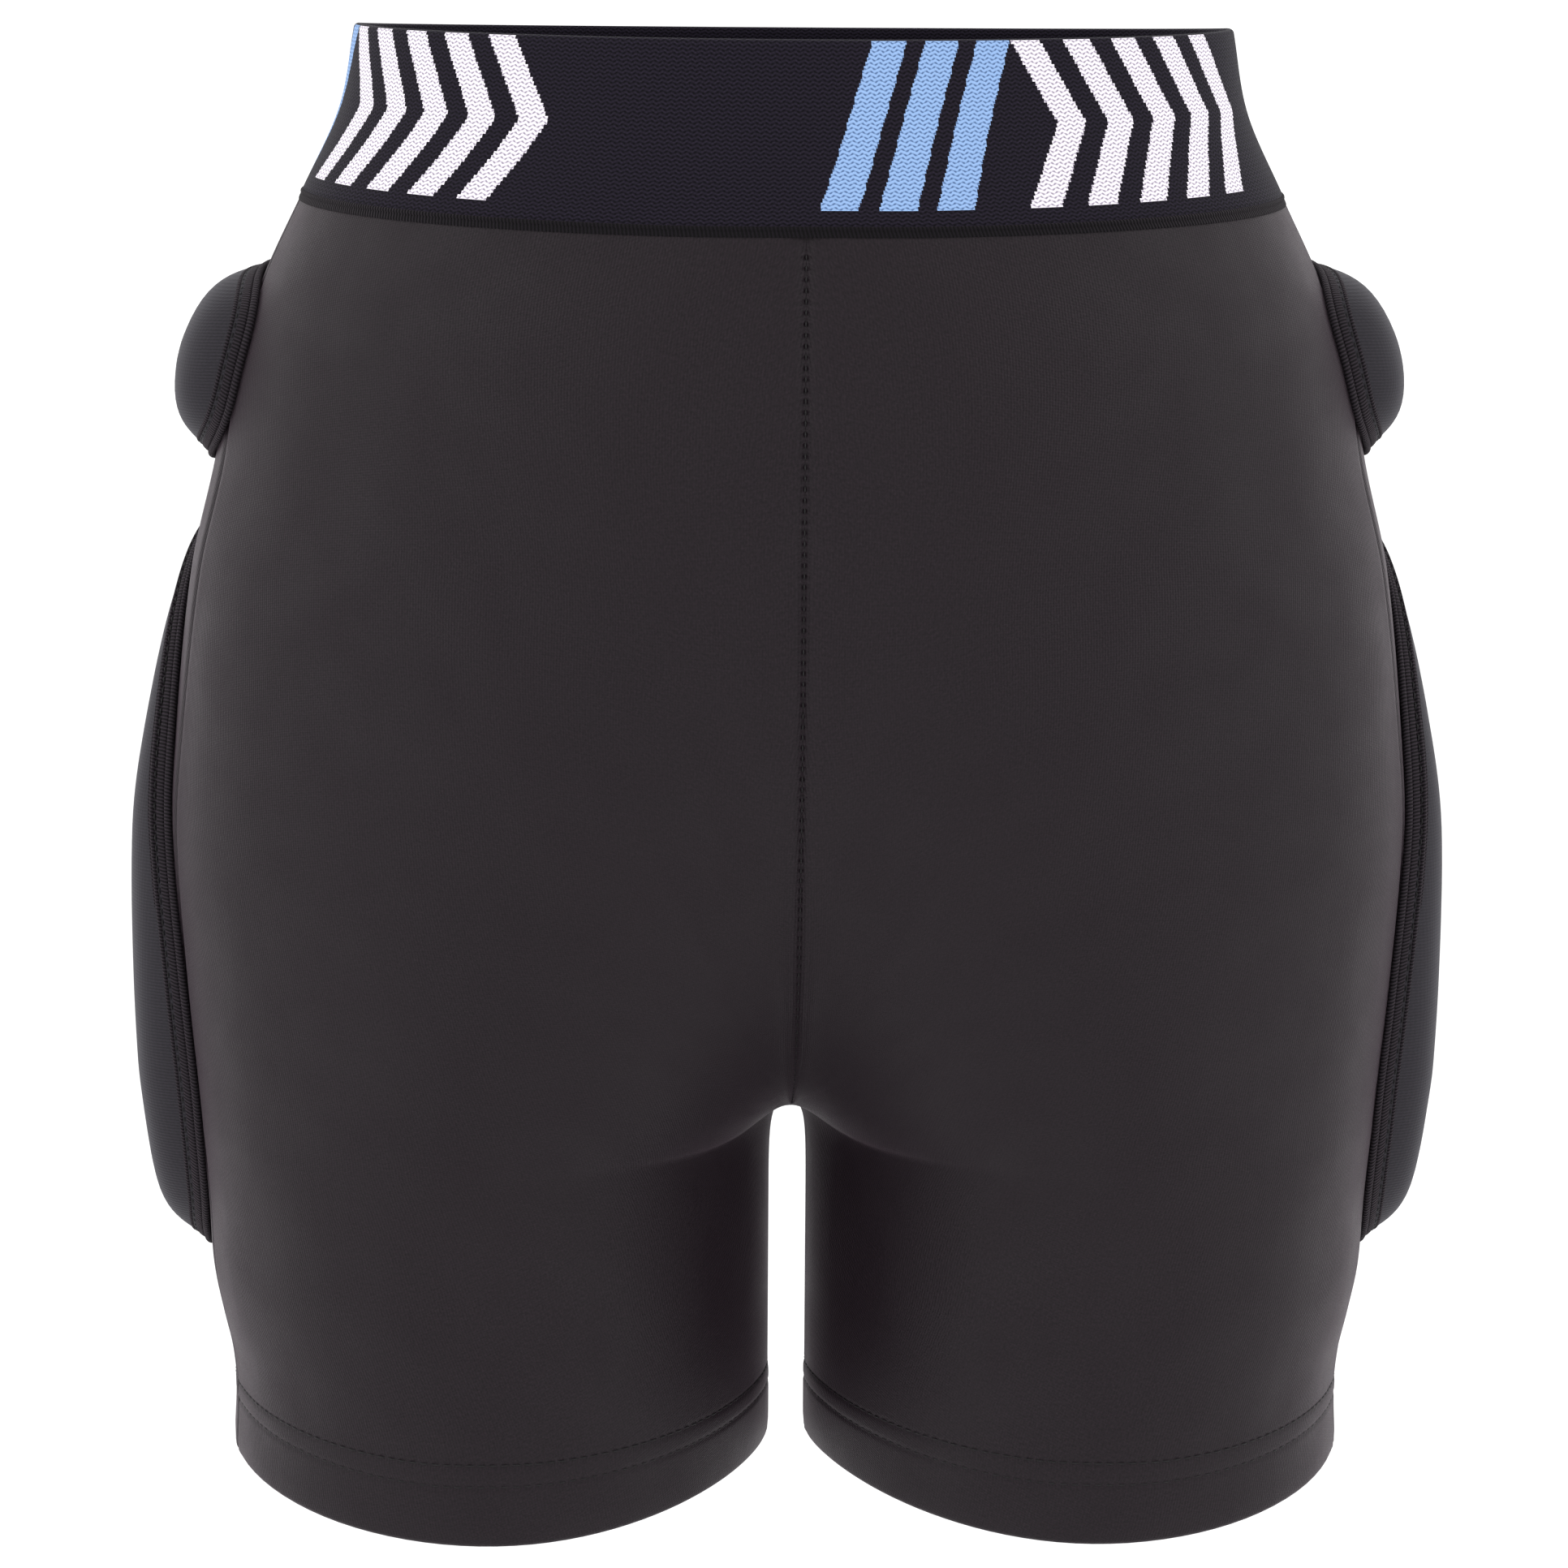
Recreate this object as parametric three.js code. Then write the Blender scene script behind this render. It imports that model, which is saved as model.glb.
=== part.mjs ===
// Padded impact shorts: a stretch shell of four panels with a wide woven waistband, sewn-in foam
// pads over both hips, both thighs and the tailbone, and a turned-up hem in each leg.
// Millimetres, +Z up, the wearer faces -Y. The origin is the centre of the waist opening.

import * as THREE from 'three';

// ---- Sizes along the height ----
const WAISTBAND_HEIGHT = 46;
const RISE = 264; // lower edge of the waistband down to the crotch
const INSEAM = 102; // crotch down to the leg hem

// ---- Half widths, measured from the centre plane ----
const WAIST_HALF_WIDTH = 122.5;
const WAIST_SEAM_HALF_WIDTH = 138.4;
const THIGH_HALF_WIDTH = 176.5;
const CROTCH_HALF_WIDTH = 169;
const HEM_HALF_WIDTH = 160;

// ---- Depths of the front and of the back, measured from the side line ----
const WAIST_DEPTH = [90, 94];
const WAIST_SEAM_DEPTH = [97, 103];
const SEAT_DEPTH = [99, 121];
const CROTCH_DEPTH = [91, 97];
const HEM_DEPTH = [84, 84];

// ---- Cloth ----
const FABRIC_THICKNESS = 1.6;
const BAND_THICKNESS = 2.4;
const BAND_PROUD = 0.6; // how far the band stands outside the panels
const BAND_SEAM_TRIM_HEIGHT = 3.6;
const BAND_SEAM_TRIM_THICKNESS = 1.1;
const HEM_TURN_UP = 25;
const HEM_THICKNESS = 1.2;
const HEM_CLEARANCE = 1.3; // inside the panels, which bend in flat facets
const SEAM_GAP = 0.3;
const LAYER_GAP = 0.4;
const SIDE_SEAM_FORWARD = 13; // degrees in front of the side line

// ---- Crotch and leg gap ----
const LEG_GAP = 11; // between the two inner legs
const VALLEY_RADIUS = 8; // rounding where the halves meet over the crotch
const SPREAD = 0.8; // how soon the halves merge above the crotch
const ARCH_DROP = 4; // how fast the leg gap opens under the crotch

// ---- Pads ----
const PAD_SEGMENTS = 24; // straight pieces of a pad's outline
const PAD_STANDOFF = 0.9; // pads' lower faces over the panels
const PAD_CLEARANCE = 0.12;
const PAD_DIP_SHARE = 0.3677; // part of a straight piece's dip that reaches the panels
const PAD_COVER_THICKNESS = 1.2;
const PAD_LINER_THICKNESS = 1.0;
const CORE_SHRINK = 0.1; // clearance round the foam core, less than the pad's stand-off
const PAD_RIM_RISE = 5.1; // rim of the cover over its lower edge
const PAD_WRAP_RADIUS = 100; // turns a distance round the side into an angle
const BINDING_HEIGHT = 3;
const PAD_SQUARENESS = 2.8;

const HIP_PAD_DROP = 21; // waistband to the pad's upper edge
const HIP_PAD_HEIGHT = 56;
const HIP_PAD_WIDTH = 106;
const HIP_PAD_CENTRE = 27; // behind the side line
const HIP_PAD_THICKNESS = 16.5;
const HIP_BINDING_WIDTH = 5;

const PAD_SPACING = 10; // hip pad's lower edge to the thigh pad's upper edge
const THIGH_PAD_HEIGHT = 218;
const THIGH_PAD_WIDTH = 108;
const THIGH_PAD_CENTRE = 34;
const THIGH_PAD_LEAN = 0.13; // the lower end leans forward
const THIGH_PAD_THICKNESS = 17.5;
const THIGH_PAD_TOP_THICKNESS = 7.5;
const THIGH_BINDING_WIDTH = 7;

const TAIL_PAD_DROP = 38;
const TAIL_PAD_HEIGHT = 116;
const TAIL_PAD_WIDTH = 96;
const TAIL_PAD_THICKNESS = 13;
const TAIL_BINDING_WIDTH = 5;

// A pad's outline is made of straight pieces, which dip into the rounded side they lie on. The thigh
// pad stands off by that dip, so a wider thigh, a shorter rise or a longer pad leaves it outside.
const SEAT_DEPTH_MEAN = (SEAT_DEPTH[0] + SEAT_DEPTH[1]) / 2;
const THIGH_FLARE = (2 * (THIGH_HALF_WIDTH - CROTCH_HALF_WIDTH)) / (0.16 * RISE) ** 2;
const THIGH_CURVE = THIGH_HALF_WIDTH / SEAT_DEPTH_MEAN ** 2 + THIGH_FLARE;
const THIGH_PAD_PIECE = (2 * (THIGH_PAD_WIDTH + THIGH_PAD_HEIGHT)) / PAD_SEGMENTS;
const THIGH_PAD_DIP = (PAD_DIP_SHARE * THIGH_PAD_PIECE ** 2 * THIGH_CURVE) / 8;
const THIGH_PAD_STANDOFF = PAD_CLEARANCE + THIGH_PAD_DIP;

// ---- Care label, left blank ----
const LABEL_WIDTH = 34;
const LABEL_HEIGHT = 22;
const LABEL_THICKNESS = 0.6;
const LABEL_DROP = 8;

const CROTCH_H = INSEAM;
const SEAM_H = INSEAM + RISE;
const TOP_H = SEAM_H + WAISTBAND_HEIGHT;

const COLOURS = {
  shell: { color: 0x322c30, roughness: 0.62, metalness: 0 },
  band: { color: 0x1b1926, roughness: 0.8, metalness: 0 },
  trim: { color: 0x1e1b22, roughness: 0.85, metalness: 0 },
  cover: { color: 0x2e2c31, roughness: 0.82, metalness: 0 },
  binding: { color: 0x232126, roughness: 0.85, metalness: 0 },
  foam: { color: 0x3a3a40, roughness: 0.95, metalness: 0 },
  liner: { color: 0x26252a, roughness: 0.9, metalness: 0 },
  label: { color: 0xe6e2e0, roughness: 0.7, metalness: 0 },
};

// A smooth curve through [position, value] pairs given in rising order of position.
function curveThrough(pairs) {
  const slopes = pairs.map((pair, i) => {
    const before = pairs[Math.max(i - 1, 0)];
    const after = pairs[Math.min(i + 1, pairs.length - 1)];
    return (after[1] - before[1]) / (after[0] - before[0]);
  });
  return (position) => {
    const last = pairs.length - 1;
    if (position <= pairs[0][0]) return pairs[0][1];
    if (position >= pairs[last][0]) return pairs[last][1];
    let i = 0;
    while (position > pairs[i + 1][0]) i += 1;
    const span = pairs[i + 1][0] - pairs[i][0];
    const t = (position - pairs[i][0]) / span;
    const rise = t * t * (3 - 2 * t);
    const bend = slopes[i] * t * (1 - t) ** 2 - slopes[i + 1] * t * t * (1 - t);
    return pairs[i][1] + (pairs[i + 1][1] - pairs[i][1]) * rise + bend * span;
  };
}

const mix = (a, b, share) => a + (b - a) * share;

// Outer half width at a height over the hem: the leg below the crotch, then hip and waistband.
const LEG_SHAPE = [[0, 0], [0.17, -0.08], [0.33, 0.06], [0.45, 0.33], [0.59, 0.62], [0.78, 0.76]];
const HIP_SHAPE = [[0.16, 0.6], [0.32, 1], [0.42, 0.96], [0.6, 0.82], [0.71, 0.65], [0.83, 0.5], [0.92, 0.27]];
const halfWidth = curveThrough([
  ...LEG_SHAPE.map(([h, share]) => [h * INSEAM, mix(HEM_HALF_WIDTH, CROTCH_HALF_WIDTH, share)]),
  [CROTCH_H, CROTCH_HALF_WIDTH],
  [CROTCH_H + HIP_SHAPE[0][0] * RISE, mix(CROTCH_HALF_WIDTH, THIGH_HALF_WIDTH, HIP_SHAPE[0][1])],
  ...HIP_SHAPE.slice(1).map(([h, share]) => [
    CROTCH_H + h * RISE,
    mix(WAIST_SEAM_HALF_WIDTH, THIGH_HALF_WIDTH, share),
  ]),
  [SEAM_H, WAIST_SEAM_HALF_WIDTH],
  [SEAM_H + WAISTBAND_HEIGHT / 2, mix(WAIST_SEAM_HALF_WIDTH, WAIST_HALF_WIDTH, 0.7)],
  [TOP_H, WAIST_HALF_WIDTH],
]);

// Depth at a height over the hem, in front (0) or behind (1).
const depth = [0, 1].map((face) =>
  curveThrough([
    [0, HEM_DEPTH[face]],
    [CROTCH_H, CROTCH_DEPTH[face]],
    [CROTCH_H + 0.52 * RISE, SEAT_DEPTH[face]],
    [SEAM_H, WAIST_SEAM_DEPTH[face]],
    [TOP_H, WAIST_DEPTH[face]],
  ]),
);

// Where the half section would start beside the centre plane. Above the crotch it lies across
// that plane, so the halves merge; below it the leg stands clear by half the leg gap.
function innerEdge(h) {
  if (h >= CROTCH_H) {
    const share = Math.min((h - CROTCH_H) / RISE, 1) ** SPREAD;
    return VALLEY_RADIUS - (halfWidth(h) + VALLEY_RADIUS) * share;
  }
  const open = 1 - Math.exp((h - CROTCH_H) / ARCH_DROP);
  return mix(VALLEY_RADIUS, Math.hypot(LEG_GAP / 2, VALLEY_RADIUS), open);
}

function section(h) {
  const outer = Math.hypot(halfWidth(h), VALLEY_RADIUS);
  const inner = innerEdge(h);
  return { centre: (outer + inner) / 2, radius: (outer - inner) / 2 };
}

// Angle at which the half section reaches the centre plane, or a half turn below the crotch.
function endAngle(h) {
  const { centre, radius } = section(h);
  const reach = (VALLEY_RADIUS - centre) / radius;
  return Math.acos(Math.max(reach, -1));
}

// How far a point lies outside the shell, as a shape value that is zero on the surface.
function outsideness(x, y, h) {
  const { centre, radius } = section(h);
  const across = (Math.hypot(x, VALLEY_RADIUS) - centre) / radius;
  return across ** 2 + (y / depth[y < 0 ? 0 : 1](h)) ** 2 - 1;
}

function outwardNormal(x, y, h) {
  const { centre, radius } = section(h);
  const spread = Math.hypot(x, VALLEY_RADIUS);
  const step = 0.5;
  return new THREE.Vector3(
    (2 * (spread - centre) * x) / (radius ** 2 * spread),
    (2 * y) / depth[y < 0 ? 0 : 1](h) ** 2,
    (outsideness(x, y, h + step) - outsideness(x, y, h - step)) / (2 * step),
  ).normalize();
}

// Point on the wearer's left half: angle 0 is the side line, negative angles turn to the front.
function shellPoint(angle, h, lift = 0) {
  const { centre, radius } = section(h);
  const spread = Math.max(centre + radius * Math.cos(angle), VALLEY_RADIUS);
  const x = Math.sqrt(spread ** 2 - VALLEY_RADIUS ** 2);
  const y = (angle < 0 ? -depth[0](h) : depth[1](h)) * Math.abs(Math.sin(angle));
  return new THREE.Vector3(x, y, h).addScaledVector(outwardNormal(x, y, h), lift);
}

// Point on the back or front at a distance x from the centre plane.
function facePoint(x, h, face, lift = 0) {
  const { centre, radius } = section(h);
  const across = (Math.hypot(x, VALLEY_RADIUS) - centre) / radius;
  const y = (face === 0 ? -1 : 1) * depth[face](h) * Math.sqrt(Math.max(1 - across ** 2, 0));
  return new THREE.Vector3(x, y, h).addScaledVector(outwardNormal(x, y, h), lift);
}

// A closed body from points and triangles, turned so that it faces outward.
function closedBody(points, triangles) {
  let volume = 0;
  const cross = new THREE.Vector3();
  for (const [a, b, c] of triangles) {
    volume += cross.crossVectors(points[b], points[c]).dot(points[a]);
  }
  const facing = volume < 0 ? triangles.map(([a, b, c]) => [a, c, b]) : triangles;
  const geometry = new THREE.BufferGeometry();
  const position = points.flatMap((point) => [point.x, point.y, point.z - TOP_H]);
  geometry.setAttribute('position', new THREE.Float32BufferAttribute(position, 3));
  geometry.setIndex(facing.flat());
  geometry.computeVertexNormals();
  return geometry;
}

// Joins rings of equal length. With start and end points it is capped, without them it closes
// on itself like a torus.
function loft(rings, start = null, end = null) {
  const count = rings[0].length;
  const points = rings.flat();
  const triangles = [];
  const joined = start === null ? rings.length : rings.length - 1;
  for (let r = 0; r < joined; r += 1) {
    const here = r * count;
    const next = ((r + 1) % rings.length) * count;
    for (let i = 0; i < count; i += 1) {
      const j = (i + 1) % count;
      triangles.push([here + i, here + j, next + j], [here + i, next + j, next + i]);
    }
  }
  if (start !== null) {
    const first = points.push(start) - 1;
    const last = points.push(end) - 1;
    const base = (rings.length - 1) * count;
    for (let i = 0; i < count; i += 1) {
      const j = (i + 1) % count;
      triangles.push([first, j, i], [last, base + i, base + j]);
    }
  }
  return closedBody(points, triangles);
}

// A sheet of cloth between two grids of the same size.
function sheet(outer, inner) {
  const rows = outer.length;
  const columns = outer[0].length;
  const points = [...outer.flat(), ...inner.flat()];
  const under = rows * columns;
  const triangles = [];
  const quad = (a, b, c, d) => triangles.push([a, b, c], [a, c, d]);
  const at = (row, column) => row * columns + column;
  for (let row = 0; row + 1 < rows; row += 1) {
    for (let column = 0; column + 1 < columns; column += 1) {
      const corners = [at(row, column), at(row, column + 1), at(row + 1, column + 1), at(row + 1, column)];
      quad(...corners);
      quad(...corners.map((corner) => corner + under).reverse());
    }
    for (const [column, flip] of [[0, false], [columns - 1, true]]) {
      const side = [at(row, column), at(row + 1, column), at(row + 1, column) + under, at(row, column) + under];
      quad(...(flip ? side.reverse() : side));
    }
  }
  for (let column = 0; column + 1 < columns; column += 1) {
    for (const [row, flip] of [[0, true], [rows - 1, false]]) {
      const side = [at(row, column), at(row, column + 1), at(row, column + 1) + under, at(row, column) + under];
      quad(...(flip ? side.reverse() : side));
    }
  }
  return closedBody(points, triangles);
}

// ---- Shell panels ----
const LEG_ROWS = 8;
const BODY_ROWS = 16;
const PANEL_COLUMNS = 13;

// Heights of one row of a panel: at the side seam, and at the centre seam or inseam. Rows crowd
// together where the inner edge turns under the crotch.
function rowHeights(row) {
  if (row < LEG_ROWS) {
    const t = row / LEG_ROWS;
    return [CROTCH_H * t, CROTCH_H * (1 - (1 - t) ** 2.2)];
  }
  const t = (row - LEG_ROWS) / BODY_ROWS;
  const room = RISE - SEAM_GAP;
  return [CROTCH_H + room * t, CROTCH_H + room * t ** 2.5];
}

function panel(face) {
  const sign = face === 0 ? -1 : 1;
  const gapAngle = SEAM_GAP / 2 / PAD_WRAP_RADIUS;
  const sideAngle = THREE.MathUtils.degToRad(-SIDE_SEAM_FORWARD) + sign * gapAngle * 1.3;
  const outer = [];
  const inner = [];
  for (let row = 0; row <= LEG_ROWS + BODY_ROWS; row += 1) {
    const [sideHeight, endHeight] = rowHeights(row);
    const outerRow = [];
    const innerRow = [];
    for (let column = 0; column <= PANEL_COLUMNS; column += 1) {
      const t = 1 - (1 - column / PANEL_COLUMNS) ** 1.4;
      const h = mix(sideHeight, endHeight, t * t);
      const angle = mix(sideAngle, sign * endAngle(endHeight), t);
      const point = shellPoint(angle, h);
      if (column === PANEL_COLUMNS) {
        point.x = Math.max(point.x, SEAM_GAP / 2);
        point.y = sign * Math.max(sign * point.y, SEAM_GAP / 2);
      }
      const normal = outwardNormal(point.x, point.y, h);
      outerRow.push(point);
      innerRow.push(point.clone().addScaledVector(normal, -FABRIC_THICKNESS));
    }
    outer.push(outerRow);
    inner.push(innerRow);
  }
  return sheet(outer, inner);
}

// ---- Waistband and the seam trim under it ----
const BAND_SEGMENTS = 56;

// Ring round the waist at one height, moved level in or out by a distance.
function waistRing(h, offset) {
  const ring = [];
  for (let i = 0; i < BAND_SEGMENTS; i += 1) {
    const turn = (2 * Math.PI * i) / BAND_SEGMENTS;
    const x = halfWidth(h) * Math.cos(turn);
    const point = facePoint(Math.abs(x), h, Math.sin(turn) < 0 ? 0 : 1);
    const level = outwardNormal(point.x, point.y, h).setZ(0).normalize();
    point.addScaledVector(level, offset);
    point.x *= Math.sign(x) || 1;
    ring.push(point);
  }
  return ring;
}

function waistband() {
  const heights = [0, 0.33, 0.67, 1].map((share) => mix(SEAM_H, TOP_H, share));
  const outside = heights.map((h) => waistRing(h, BAND_PROUD));
  const inside = heights.map((h) => waistRing(h, BAND_PROUD - BAND_THICKNESS)).reverse();
  return loft([...outside, ...inside]);
}

function bandSeamTrim() {
  const half = BAND_SEAM_TRIM_HEIGHT / 2;
  const near = BAND_PROUD + LAYER_GAP;
  const far = near + BAND_SEAM_TRIM_THICKNESS;
  return loft([
    waistRing(SEAM_H - half, near),
    waistRing(SEAM_H - half * 0.6, far),
    waistRing(SEAM_H + half * 0.6, far),
    waistRing(SEAM_H + half, near),
  ]);
}

// ---- Turned-up hem inside each leg ----
const HEM_SEGMENTS = 40;

function hemRing(h, offset) {
  const ring = [];
  for (let i = 0; i < HEM_SEGMENTS; i += 1) {
    ring.push(shellPoint(-Math.PI + (2 * Math.PI * (i + 0.5)) / HEM_SEGMENTS, h, offset));
  }
  return ring;
}

function hem() {
  const near = -FABRIC_THICKNESS - HEM_CLEARANCE;
  const far = near - HEM_THICKNESS;
  const heights = [0, HEM_TURN_UP / 2, HEM_TURN_UP];
  return loft([
    ...heights.map((h) => hemRing(h, near)),
    ...heights.map((h) => hemRing(h, far)).reverse(),
  ]);
}

// ---- Pads ----
const PAD_SHARES = [0.35, 0.68, 0.88, 1];

// Outline of a rounded pad, as distances from its centre.
function padOutline(halfAcross, halfUp, share = 1) {
  const outline = [];
  for (let i = 0; i < PAD_SEGMENTS; i += 1) {
    const turn = (2 * Math.PI * i) / PAD_SEGMENTS;
    const c = Math.cos(turn);
    const s = Math.sin(turn);
    outline.push([
      halfAcross * share * Math.sign(c) * Math.abs(c) ** (2 / PAD_SQUARENESS),
      halfUp * share * Math.sign(s) * Math.abs(s) ** (2 / PAD_SQUARENESS),
    ]);
  }
  return outline;
}

// The four pieces of one pad. `place` puts a point given across, up and outward on the shell;
// `thickness` gives the full depth of the pad at a distance above its centre.
function padPieces({ halfAcross, halfUp, bindingWidth, standoff, place, thickness }) {
  const rimHeight = standoff + PAD_RIM_RISE;
  const coreClearance = standoff - CORE_SHRINK;
  const coverAcross = halfAcross - bindingWidth - LAYER_GAP;
  const coverUp = halfUp - bindingWidth - LAYER_GAP;
  const ring = (inset, share, lift) =>
    padOutline(coverAcross - inset, coverUp - inset, share).map(([across, up]) =>
      place(across, up, typeof lift === 'function' ? lift(share, up) : lift),
    );
  const domeHeight = (share, up) =>
    mix(rimHeight, Math.max(thickness(up), rimHeight + 1), Math.sqrt(1 - share ** 6));
  const lowered = (drop) => (share, up) => domeHeight(share, up) - drop;
  const dome = (inset, drop) => PAD_SHARES.map((share) => ring(inset, share, lowered(drop)));
  const apex = (drop) => place(0, 0, domeHeight(0, 0) - drop);
  const flat = (inset, lift) => PAD_SHARES.map((share) => ring(inset, share, lift));

  const cover = loft(
    [
      ...dome(0, 0),
      ring(0, 1, standoff),
      ring(PAD_COVER_THICKNESS, 1, standoff),
      ...dome(PAD_COVER_THICKNESS, PAD_COVER_THICKNESS).reverse(),
    ],
    apex(0),
    apex(PAD_COVER_THICKNESS),
  );

  const fitted = PAD_COVER_THICKNESS + coreClearance;
  const linerTop = standoff + PAD_LINER_THICKNESS;
  const liner = loft(
    [...flat(fitted, linerTop), ...flat(fitted, standoff).reverse()],
    place(0, 0, linerTop),
    place(0, 0, standoff),
  );

  const coreBase = linerTop + coreClearance;
  const core = loft(
    [...dome(fitted, fitted), ...flat(fitted, coreBase).reverse()],
    apex(fitted),
    place(0, 0, coreBase),
  );

  const profile = [
    [0, 0],
    [0, 0.7],
    [0.25, 1],
    [0.75, 0.9],
    [1, 0.45],
    [1, 0],
  ];
  const binding = loft(
    profile.map(([out, up]) =>
      ring(-LAYER_GAP - out * bindingWidth, 1, standoff + up * BINDING_HEIGHT),
    ),
  );
  return { cover, core, liner, binding };
}

const hipPadCentre = SEAM_H - HIP_PAD_DROP - HIP_PAD_HEIGHT / 2;
const thighPadCentre = hipPadCentre - HIP_PAD_HEIGHT / 2 - PAD_SPACING - THIGH_PAD_HEIGHT / 2;
const tailPadCentre = SEAM_H - TAIL_PAD_DROP - TAIL_PAD_HEIGHT / 2;

const hipPad = {
  halfAcross: HIP_PAD_WIDTH / 2,
  halfUp: HIP_PAD_HEIGHT / 2,
  bindingWidth: HIP_BINDING_WIDTH,
  standoff: PAD_STANDOFF,
  place: (across, up, lift) =>
    shellPoint((HIP_PAD_CENTRE + across) / PAD_WRAP_RADIUS, hipPadCentre + up, lift),
  thickness: () => HIP_PAD_THICKNESS,
};

const thighPad = {
  halfAcross: THIGH_PAD_WIDTH / 2,
  halfUp: THIGH_PAD_HEIGHT / 2,
  bindingWidth: THIGH_BINDING_WIDTH,
  standoff: THIGH_PAD_STANDOFF,
  place: (across, up, lift) =>
    shellPoint(
      (THIGH_PAD_CENTRE + across + THIGH_PAD_LEAN * up) / PAD_WRAP_RADIUS,
      thighPadCentre + up,
      lift,
    ),
  thickness: (up) =>
    mix(
      THIGH_PAD_THICKNESS,
      THIGH_PAD_TOP_THICKNESS,
      THREE.MathUtils.clamp((up / THIGH_PAD_HEIGHT + 0.25) / 0.75, 0, 1),
    ),
};

const tailPad = {
  halfAcross: TAIL_PAD_WIDTH / 2,
  halfUp: TAIL_PAD_HEIGHT / 2,
  bindingWidth: TAIL_BINDING_WIDTH,
  standoff: PAD_STANDOFF,
  place: (across, up, lift) => facePoint(across, tailPadCentre + up, 1, lift),
  thickness: () => TAIL_PAD_THICKNESS,
};

// ---- Care label inside the back of the waistband ----
function careLabel() {
  const lift = -(BAND_THICKNESS - BAND_PROUD) - 2 * LAYER_GAP;
  const top = TOP_H - LABEL_DROP;
  const grid = (offset) =>
    [0, 0.5, 1].map((rowShare) =>
      [-1, -0.5, 0, 0.5, 1].map((side) =>
        facePoint((side * LABEL_WIDTH) / 2, top - LABEL_HEIGHT * rowShare, 1, offset),
      ),
    );
  return sheet(grid(lift), grid(lift - LABEL_THICKNESS));
}

// ---- Assembly ----
const shorts = new THREE.Group();
shorts.name = 'padded_impact_shorts';

function add(name, geometry, look, mirrored = false) {
  let shape = geometry;
  if (mirrored) {
    shape = geometry.clone().scale(-1, 1, 1);
    const index = Array.from(shape.getIndex().array);
    for (let i = 0; i < index.length; i += 3) {
      [index[i + 1], index[i + 2]] = [index[i + 2], index[i + 1]];
    }
    shape.setIndex(index);
    shape.computeVertexNormals();
  }
  const mesh = new THREE.Mesh(shape, new THREE.MeshStandardMaterial(COLOURS[look]));
  mesh.name = name;
  shorts.add(mesh);
}

function addPair(name, geometry, look) {
  add(`${name}_left`, geometry, look);
  add(`${name}_right`, geometry, look, true);
}

const PAD_LOOKS = { cover: 'cover', core: 'foam', liner: 'liner', binding: 'binding' };

add('waistband', waistband(), 'band');
add('waistband_seam_trim', bandSeamTrim(), 'trim');
add('care_label', careLabel(), 'label');
addPair('front_panel', panel(0), 'shell');
addPair('back_panel', panel(1), 'shell');
addPair('leg_hem', hem(), 'shell');
for (const [name, pad] of [['hip_pad', hipPad], ['thigh_pad', thighPad]]) {
  for (const [piece, geometry] of Object.entries(padPieces(pad))) {
    addPair(`${name}_${piece}`, geometry, PAD_LOOKS[piece]);
  }
}
for (const [piece, geometry] of Object.entries(padPieces(tailPad))) {
  add(`tailbone_pad_${piece}`, geometry, PAD_LOOKS[piece]);
}

export default shorts;
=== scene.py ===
import math

import bpy
import numpy as np
from mathutils import Matrix, Vector
from mathutils.kdtree import KDTree


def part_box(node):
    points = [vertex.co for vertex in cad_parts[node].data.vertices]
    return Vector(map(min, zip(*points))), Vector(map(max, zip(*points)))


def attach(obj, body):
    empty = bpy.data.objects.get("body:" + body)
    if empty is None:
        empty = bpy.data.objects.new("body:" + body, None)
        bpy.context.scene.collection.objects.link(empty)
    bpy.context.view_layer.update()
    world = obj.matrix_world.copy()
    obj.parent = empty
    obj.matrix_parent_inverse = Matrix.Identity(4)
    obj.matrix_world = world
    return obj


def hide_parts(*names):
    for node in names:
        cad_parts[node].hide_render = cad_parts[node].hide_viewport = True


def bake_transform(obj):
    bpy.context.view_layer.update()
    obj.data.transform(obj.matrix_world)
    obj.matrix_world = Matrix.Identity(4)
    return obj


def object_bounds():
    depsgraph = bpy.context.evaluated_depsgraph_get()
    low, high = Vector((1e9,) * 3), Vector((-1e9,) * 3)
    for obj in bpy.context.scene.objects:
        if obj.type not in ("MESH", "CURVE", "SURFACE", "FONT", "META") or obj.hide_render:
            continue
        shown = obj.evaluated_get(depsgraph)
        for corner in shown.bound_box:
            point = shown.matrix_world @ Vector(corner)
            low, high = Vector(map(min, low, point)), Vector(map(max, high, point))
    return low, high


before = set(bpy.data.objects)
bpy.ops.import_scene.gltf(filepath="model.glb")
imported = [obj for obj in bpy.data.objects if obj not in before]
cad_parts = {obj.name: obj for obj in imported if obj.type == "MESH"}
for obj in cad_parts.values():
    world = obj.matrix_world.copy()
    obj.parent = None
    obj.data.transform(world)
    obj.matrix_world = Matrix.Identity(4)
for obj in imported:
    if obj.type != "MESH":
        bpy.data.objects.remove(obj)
cad_box = [list(map(float, corner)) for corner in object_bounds()]

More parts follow.
